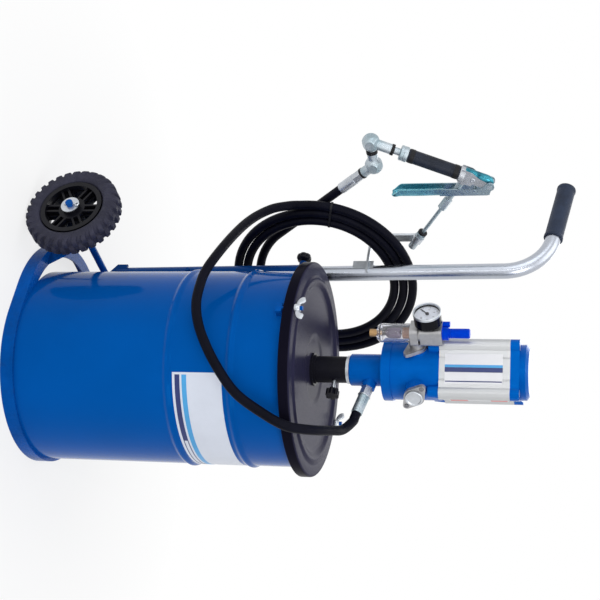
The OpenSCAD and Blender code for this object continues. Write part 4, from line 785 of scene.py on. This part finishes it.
FACE_OUT, HALF_TALL = 0.0515, 0.0522
plate = facing(207.5, FACE_OUT, 0.8618)
tall = (-HALF_TALL, HALF_TALL)
film_on_face("motor_plate", plate_white, plate, (-0.027, 0.027), tall, 0.0004, 0.001)
film_on_face("motor_plate_light_band", band_sky, plate, (-0.0075, -0.0022), tall, 0.0006)
film_on_face("motor_plate_dark_band", band_navy, plate, (-0.0026, 0.006), tall, 0.0007)
line_tall = (-HALF_TALL + 0.001, HALF_TALL - 0.001)
film_on_face("motor_plate_edge_line", band_navy, plate, (0.0218, 0.0238), line_tall, 0.0006)
stripe = facing(297.5, FACE_OUT, 0.865)
wide = (0.004, 0.02)
film_on_face("motor_stripe_pale", plate_white, stripe, wide, (-0.054, 0.054), 0.0004)
film_on_face("motor_stripe_low", stripe_red, stripe, wide, (-0.052, -0.02), 0.0006)
film_on_face("motor_stripe_high", stripe_red, stripe, wide, (0.022, 0.052), 0.0006)


# Hose ends and exhaust
def crimp(place, low, high, r, bore):
    """A crimped hose end: a sleeve with rolled grooves 0.5 mm deep, cut wherever a cosine of five waves is
    over 0.2, and a turned shoulder 0.6 mm deep over its first tenth."""
    h = np.linspace(low, high, 90)
    t = (h - low) / (high - low)
    groove = 0.0005 * (np.cos((t - 0.22) / 0.7 * 5 * TAU) > 0.2) * ((t > 0.22) & (t < 0.92))
    out = np.column_stack([r - groove - 0.0006 * (t < 0.1), h])
    return revolve(np.vstack([[(bore, low)], out, [(bore, high)]]), place, 64, wrap=True)


PUMP_OUTLET = Place((0, 0, 0.6724), turned(x=104.3))
sleeve = crimp(PUMP_OUTLET, low=0.0581, high=0.098, r=0.0106, bore=0.0042)
piece("lead_crimp", [sleeve], gun_zinc, "pump", ["lead_ferrule"])
collar_ring = rounded([(0.0045, 0.0582), (0.0118, 0.0582), (0.0122, 0.0592), (0.0118, 0.0606),
                       (0.0045, 0.0606)], 0.0005)
piece("lead_crimp_collar", [revolve(collar_ring, PUMP_OUTLET, 64, wrap=True)], zinc, "pump")

AZ_OUT = math.radians(253)
OUTWARDS = (math.cos(AZ_OUT), math.sin(AZ_OUT), 0)
EXHAUST = Place((0, 0, 0.7555), [(0, 0, -1), (-OUTWARDS[1], OUTWARDS[0], 0), OUTWARDS])
EAR_TURN, EAR_REACH = math.radians(52), 0.025
cap = rounded([(0, 0.0792), (0.0122, 0.0792), (0.0128, 0.0796), (0.0138, 0.0806), (0.0158, 0.0806),
               (0.0166, 0.0798), (0.0166, 0.0766), (0, 0.0766)], 0.0005)
piece("exhaust_cap", [revolve(cap, EXHAUST, 72)], zinc, "pump")
screw = rounded([(0, 0.0761), (0.0042, 0.0761), (0.0042, 0.0776), (0.0036, 0.0784), (0.002, 0.0784),
                 (0.0018, 0.0774), (0, 0.0774)], 0.0003)
ear = np.array([math.cos(EAR_TURN), math.sin(EAR_TURN), 0]) * EAR_REACH
ear_screws = [revolve(screw, EXHAUST.at(k * ear), 32) for k in (-1, 1)]
piece("exhaust_screws", ear_screws, lead_grey, "pump")

# Air unit: dial, bezel, filter
UNIT_OUT, UNIT_AZ, UNIT_Z = 0.092, 165.4, 0.749
unit_turn = math.radians(UNIT_AZ)
UNIT = Place((UNIT_OUT * math.cos(unit_turn), UNIT_OUT * math.sin(unit_turn), UNIT_Z), turned(z=UNIT_AZ))
GAUGE = UNIT.at((0.018, 0, 0.034), turned(y=90))
DIAL = GAUGE.at((0, 0, 0), [(0, 1, 0), (-1, 0, 0), (0, 0, 1)])
DIAL_START, DIAL_SWEEP, DIAL_MARKS, MARKS_IN_STEP = 225, 270, 30, 6
NUMBER_R, NUMBER_SIZE, MARKS_IN_UNIT = 0.0135, 0.0052, 3
dial_disc = [(0.0016, 0.0251), (0.0226, 0.0251), (0.0226, 0.0255), (0.0016, 0.0255)]
piece("gauge_dial", [revolve(dial_disc, DIAL, wrap=True)], dial_white, "pump")
bezel = rounded([(0.0228, 0.0296), (0.0228, 0.0335), (0.0238, 0.0341), (0.0254, 0.0334), (0.0256, 0.0312),
                 (0.0256, 0.0285), (0.0251, 0.0282), (0.0251, 0.0296)], 0.0005)
piece("gauge_bezel", [revolve(bezel, GAUGE, wrap=True)], zinc, "pump")


def dial_turn(k):
    """The angle of mark k: the sweep's start less k equal shares of the sweep, in radians."""
    return math.radians(DIAL_START - DIAL_SWEEP * k / DIAL_MARKS)


def dial_marks():
    """Short bars on the dial, each a rectangle about its radius. Every sixth one is longer and wider."""
    bars = []
    for k in range(DIAL_MARKS + 1):
        numbered = k % MARKS_IN_STEP == 0
        r0, r1, w = (0.0172 if numbered else 0.0188), 0.0212, (0.0004 if numbered else 0.0002)
        c, d = math.cos(dial_turn(k)), math.sin(dial_turn(k))
        corners = [(c * r - d * h, d * r + c * h) for r, h in ((r0, w), (r0, -w), (r1, -w), (r1, w))]
        bars.append(slab(np.array(corners), 0.02551, 0.02568, DIAL, edge=0.00003))
    return bars


def numeral(word, centre, size):
    """A numeral as a thin raised solid: its outline's middle is moved to its place on the dial."""
    curve = bpy.data.curves.new("numeral", "FONT")
    curve.body = word
    curve.size = size
    curve.extrude = 0.00006
    curve.resolution_u = 3
    ob = bpy.data.objects.new("numeral", curve)
    mesh = bpy.data.meshes.new_from_object(ob)
    co = np.empty(len(mesh.vertices) * 3, np.float32)
    mesh.vertices.foreach_get("co", co)
    co = co.reshape(-1, 3).astype(float)
    co[:, :2] += np.array(centre) - (co[:, :2].max(0) + co[:, :2].min(0)) / 2
    co[:, 2] += 0.02562
    faces = [list(f.vertices) for f in mesh.polygons]
    loops = sum(len(f) for f in faces)
    bpy.data.objects.remove(ob)
    bpy.data.curves.remove(curve)
    bpy.data.meshes.remove(mesh)
    return DIAL.put(co), faces, np.zeros((loops, 2))


numbers = []
for k in range(0, DIAL_MARKS + 1, MARKS_IN_STEP):
    a = dial_turn(k)
    centre = (NUMBER_R * math.cos(a), NUMBER_R * math.sin(a))
    numbers.append(numeral(str(k // MARKS_IN_UNIT), centre, NUMBER_SIZE))
piece("gauge_ticks", dial_marks(), dial_ink, "pump")
piece("gauge_numbers", numbers, dial_ink, "pump", closed=False)

candle = rounded([(0.0046, -0.0145), (0.0102, -0.0145), (0.0102, -0.0005), (0.0046, -0.0005),
                  (0.0046, -0.0145)], 0.0008)
piece("filter_bronze", [revolve(candle, UNIT)], bronze, "pump", ["filter_element"])


def baffle_skin():
    """A louvred baffle: radius 9.4 + 0.7 cos(8 a) mm at angle a, its vanes turned by 40 degrees along it."""
    h = np.array([-0.046, -0.0455, -0.043, -0.038, -0.031, -0.025, -0.02, -0.0182, -0.0178])
    r = np.array([0.0035, 0.0052, 0.0078, 0.0092, 0.0094, 0.0094, 0.0094, 0.0088, 0.006])[:, None]
    a = around(96)
    wave = 0.0007 * np.cos(8 * (a[None, :] + 25 * h[:, None]))
    return shell(UNIT.put(rings(r + wave * (r / 0.0094) ** 2, a, h)))


baffle_stem = [(0.0028, -0.0180), (0.0028, -0.0140)]
piece("filter_baffle", [baffle_skin(), revolve(baffle_stem, UNIT, 32)], baffle_grey, "pump")

# Gun
GUN = STORE.at((-0.2555, GUN_V, 0.659), turned(y=24.6))
PIN = STORE.at((-0.156425, GUN_V, 0.875398))
OUTLET = STORE.at((-0.17599, GUN_V, 0.832664), turned(y=126.1))
SIDEWAYS = [(1, 0, 0), (0, 0, 1), (0, -1, 0)]
SHEET, CHANNEL_HALF, CHANNEL_BACK, CHANNEL_EDGE = 0.0022, 0.0119, 0.019, 0.0045
LIP_FROM, LIP_REACH, CHEEK_OUT = 0.17, 0.018, 0.01065


def channel_skin():
    """A pressed channel 24 mm wide with a U section. From 170 mm below the pin an eased step lowers its sides
    to a lip, widens it by 1.4 mm a side and bows its back out by 2.2 mm. Its end is a quarter ellipse on each
    side, seen on its back."""
    z = np.concatenate([np.linspace(-0.1895, -0.1862, 6), np.linspace(-0.1845, -0.166, 10),
                        np.linspace(-0.162, -0.0905, 16)])
    end = smooth((-z - LIP_FROM) / LIP_REACH)
    plan = np.sqrt(np.clip(1 - np.clip((-z - 0.1775) / 0.0125, 0, 1) ** 2, 0.03, 1))
    half = (CHANNEL_HALF + 0.0014 * end) * (0.3 + 0.7 * plan)
    back = CHANNEL_BACK + 0.0022 * end + 0.0006 * np.sin((z + 0.09) / 0.1 * math.pi) ** 2
    front = CHANNEL_EDGE + (back - SHEET - 0.0078) * end
    a = np.radians(np.linspace(0, 90, 6))

    def half_u(h, b, f, r):
        """From one edge down the side and round the corner to the back, at radius r."""
        return [(f, -h)] + [(b - r + r * math.sin(v), -h + r - r * math.cos(v)) for v in a]

    def section(h, b, f):
        """The outside from edge to edge, then the inside back again."""
        outside = half_u(h, b, f, min(0.0046, b - f - 0.0001))
        inside = half_u(h - SHEET, b - SHEET, f, min(0.0024, max(b - SHEET - f, 0.0002)))
        inside = [(x, -y) for x, y in inside]
        mirrored = [[(x, -y) for x, y in side[::-1]] for side in (outside, inside)]
        return np.array(outside + mirrored[0] + inside + mirrored[1])

    rows = np.array([section(h, b, f) for h, b, f in zip(half, back, front)])
    points = np.stack([rows[..., 0], rows[..., 1], np.repeat(z[:, None], rows.shape[1], 1)], -1)
    return shell(PIN.put(points))


def lever_cheek(side):
    """One side plate of the lever's fork: straight from the channel, with a round head about the pin."""
    a = np.radians(np.linspace(12, 205, 22))
    head = np.column_stack([0.009 * np.cos(a), 0.009 * np.sin(a)])
    outline = np.vstack([[(0.0045, -0.096), (0.019, -0.096), (0.019, -0.006), (0.0172, -0.001)], head,
                         [(0.001, -0.013), (0.0045, -0.021)]])
    return slab(outline, -SHEET / 2, SHEET / 2, PIN.at((0, side * CHEEK_OUT, 0), SIDEWAYS), edge=0.0005)


FLAT = [(0, 1, 0), (0, 0, 1), (1, 0, 0)]
strap = slab(rounded_box(0.0226, 0.012, 0.001), -SHEET / 2, SHEET / 2, PIN.at((0.0178, 0, -0.0072), FLAT),
             edge=0.0005)
bar_line = rounded([(0, -0.0118), (0.003, -0.0118), (0.003, 0.0118), (0, 0.0118)], 0.0004)
bar = revolve(bar_line, PIN.at((0.00894, 0, -0.02851), SIDEWAYS), 32)
PALE_FROM, PALE_TO = -0.125, -0.06
foot, top = PIN.put([(0, 0, PALE_FROM), (0, 0, PALE_TO)])
way = (top - foot) / np.linalg.norm(top - foot)
change_past(lever_teal, along_way(lever_teal.node_tree, tuple(way)), float(foot @ way), PALE_TO - PALE_FROM,
            (0.4, 0.5, 0.55))
piece("pressed_lever", [channel_skin()], lever_teal, "gun_lever", ["gun_lever"])
piece("lever_fork", [lever_cheek(-1), lever_cheek(1), strap, bar], lever_teal, "gun_lever")

HEAD_R, HEAD_HALF_THICK, HEAD_SHIFT, DOME_FROM = 0.0126, 0.0086, 0.0029, 0.227
PLATE_OUT, PLATE_EYE, EYE_R, SIDE_SCREW_AT = 0.0088, 0.238, 0.0088, 0.204


def head_skin():
    """The gun's head: a bar whose section is a flattened superellipse, ending in a dome whose outline is a
    quarter of an ellipse."""
    dome = DOME_FROM + 0.0172 * np.sin(np.linspace(0.12, 1.5, 12))
    s = np.concatenate([np.linspace(0.185, DOME_FROM, 12), dome])
    shrink = np.sqrt(np.clip(1 - ((s - DOME_FROM) / 0.0173) ** 2, 0.004, 1))
    r = np.where(s < DOME_FROM, HEAD_R, HEAD_R * shrink)[:, None]
    a = around(64)
    x = r * boxy(np.cos(a), 0.8) - HEAD_SHIFT
    y = HEAD_HALF_THICK / HEAD_R * r * boxy(np.sin(a), 0.8)
    return shell(GUN.put(np.stack([x, y, np.repeat(s[:, None], len(a), 1)], -1)))


def body_cheek(side):
    """A grey side plate of the gun's body, cut on a slant towards a round eye about the lever's pin."""
    a = np.radians(np.linspace(128, -35, 16))
    eye = np.column_stack([EYE_R * np.cos(a), PLATE_EYE + EYE_R * np.sin(a)])
    before_eye = [(-0.0148, 0.1782), (-0.0148, 0.197), (-0.0138, 0.2), (-0.0075, 0.2135), (-0.0045, 0.232)]
    after_eye = [(0.0094, 0.2205), (0.0094, 0.2075), (0.0148, 0.2035), (0.0148, 0.1782)]
    outline = np.vstack([before_eye, eye, after_eye])
    return slab(outline, -0.0004, 0.0004, GUN.at((0, side * PLATE_OUT, 0), SIDEWAYS), edge=0.0002)


collar = rounded([(0.0082, 0.176), (0.0146, 0.176), (0.015, 0.1768), (0.015, 0.1855), (0.0135, 0.1875),
                  (0.0082, 0.1875), (0.0082, 0.176)], 0.0006)
boss = rounded([(0, 0), (0.0078, 0), (0.0078, 0.0185), (0.007, 0.02), (0, 0.02)], 0.0005)
piece("gun_head", [head_skin()], head_teal, "handle", ["gun_body"])
piece("gun_collar", [revolve(collar, GUN, 64), revolve(boss, OUTLET, 48)], plate_grey, "handle")
side_screw = rounded([(0, 0.0090), (0.0046, 0.0090), (0.0046, 0.0098), (0.0038, 0.0104), (0.0012, 0.0104),
                      (0.001, 0.0099), (0, 0.0099)], 0.0003)
piece("gun_side_plates", [body_cheek(-1), body_cheek(1)], plate_grey, "handle")
screw_places = [GUN.at((0, 0, SIDE_SCREW_AT), [(1, 0, 0), (0, 0, -k), (0, k, 0)]) for k in (1, -1)]
side_screws = [revolve(side_screw, place, 40) for place in screw_places]
piece("gun_side_screws", side_screws, zinc, "handle")

neck = rounded([(0, 0.0462), (0.007, 0.0462), (0.007, 0.0572), (0.0132, 0.0578), (0.0148, 0.0592),
                (0.0148, 0.063), (0.0141, 0.0634), (0.0141, 0.065), (0.0148, 0.0654), (0.0148, 0.0722),
                (0.0138, 0.0734), (0.008, 0.0734), (0.008, 0.1758), (0, 0.1758)], 0.0005)
piece("gun_ring_nut", [revolve(neck, GUN, 64)], gun_zinc, "handle", ["gun_inlet"])
grip = rounded([(0.0081, 0.0742), (0.0127, 0.0742), (0.0134, 0.075), (0.0134, 0.0875), (0.0129, 0.0882),
                (0.0132, 0.0888), (0.0132, 0.162), (0.0129, 0.1625), (0.0134, 0.1632), (0.0134, 0.1752),
                (0.0127, 0.1758), (0.0081, 0.1758), (0.0081, 0.0742)], 0.0005)
piece("gun_handgrip", [revolve(grip, GUN, 72)], gun_grip_blue, "handle", ["gun_grip"])
for k, at in enumerate((0.0765, 0.1645)):
    band = rounded([(0.0133, at), (0.0138, at + 0.0004), (0.0138, at + 0.0086), (0.0133, at + 0.009)], 0.0003)
    band = np.vstack([band, [(0.0131, at + 0.009), (0.0131, at)]])
    skin = revolve(band, GUN, 72, wrap=True)
    piece(f"gun_grip_band_{k + 1}", [skin], seal_black, "handle")
ring = rounded([(0.0052, 0.1622), (0.0086, 0.1622), (0.0094, 0.1632), (0.0094, 0.1668), (0.0088, 0.1676),
                (0.0052, 0.1676)], 0.0005)
piece("coupler_ring", [revolve(ring, OUTLET, 48, wrap=True)], seal_black, "handle")

# Coil tie and clamp screw
TIE_TURN, TIE_R, TIE_HALF = math.radians(166), 0.1708, 0.0019
TIE_OUT = (math.cos(TIE_TURN), 0, math.sin(TIE_TURN))
TIE = STORE.at((COIL_U + TIE_R * TIE_OUT[0], 0, COIL_Z + TIE_R * TIE_OUT[2]),
               [TIE_OUT, (0, 1, 0), (-TIE_OUT[2], 0, TIE_OUT[0])])
outer, inner = rounded_box(0.0582, 0.0206, 0.0102), rounded_box(0.0566, 0.019, 0.0094)
rows = [(inner, -TIE_HALF), (outer, -TIE_HALF), (outer, TIE_HALF), (inner, TIE_HALF)]
band = np.array([np.column_stack([q, np.full(len(q), h)]) for q, h in rows])
piece("coil_tie", [shell(TIE.put(band), wrap_u=True)], seal_black, "handle")

screw_rod = rounded([(0, 0.0254), (0.0037, 0.0254), (0.0037, 0.0425), (0, 0.0425)], 0.0003)
CLAMP = Place((0, 0, 0.597), turned(x=90))
piece("pump_knob_screw", [revolve(screw_rod, CLAMP, 40)], zinc, "pump_knob")
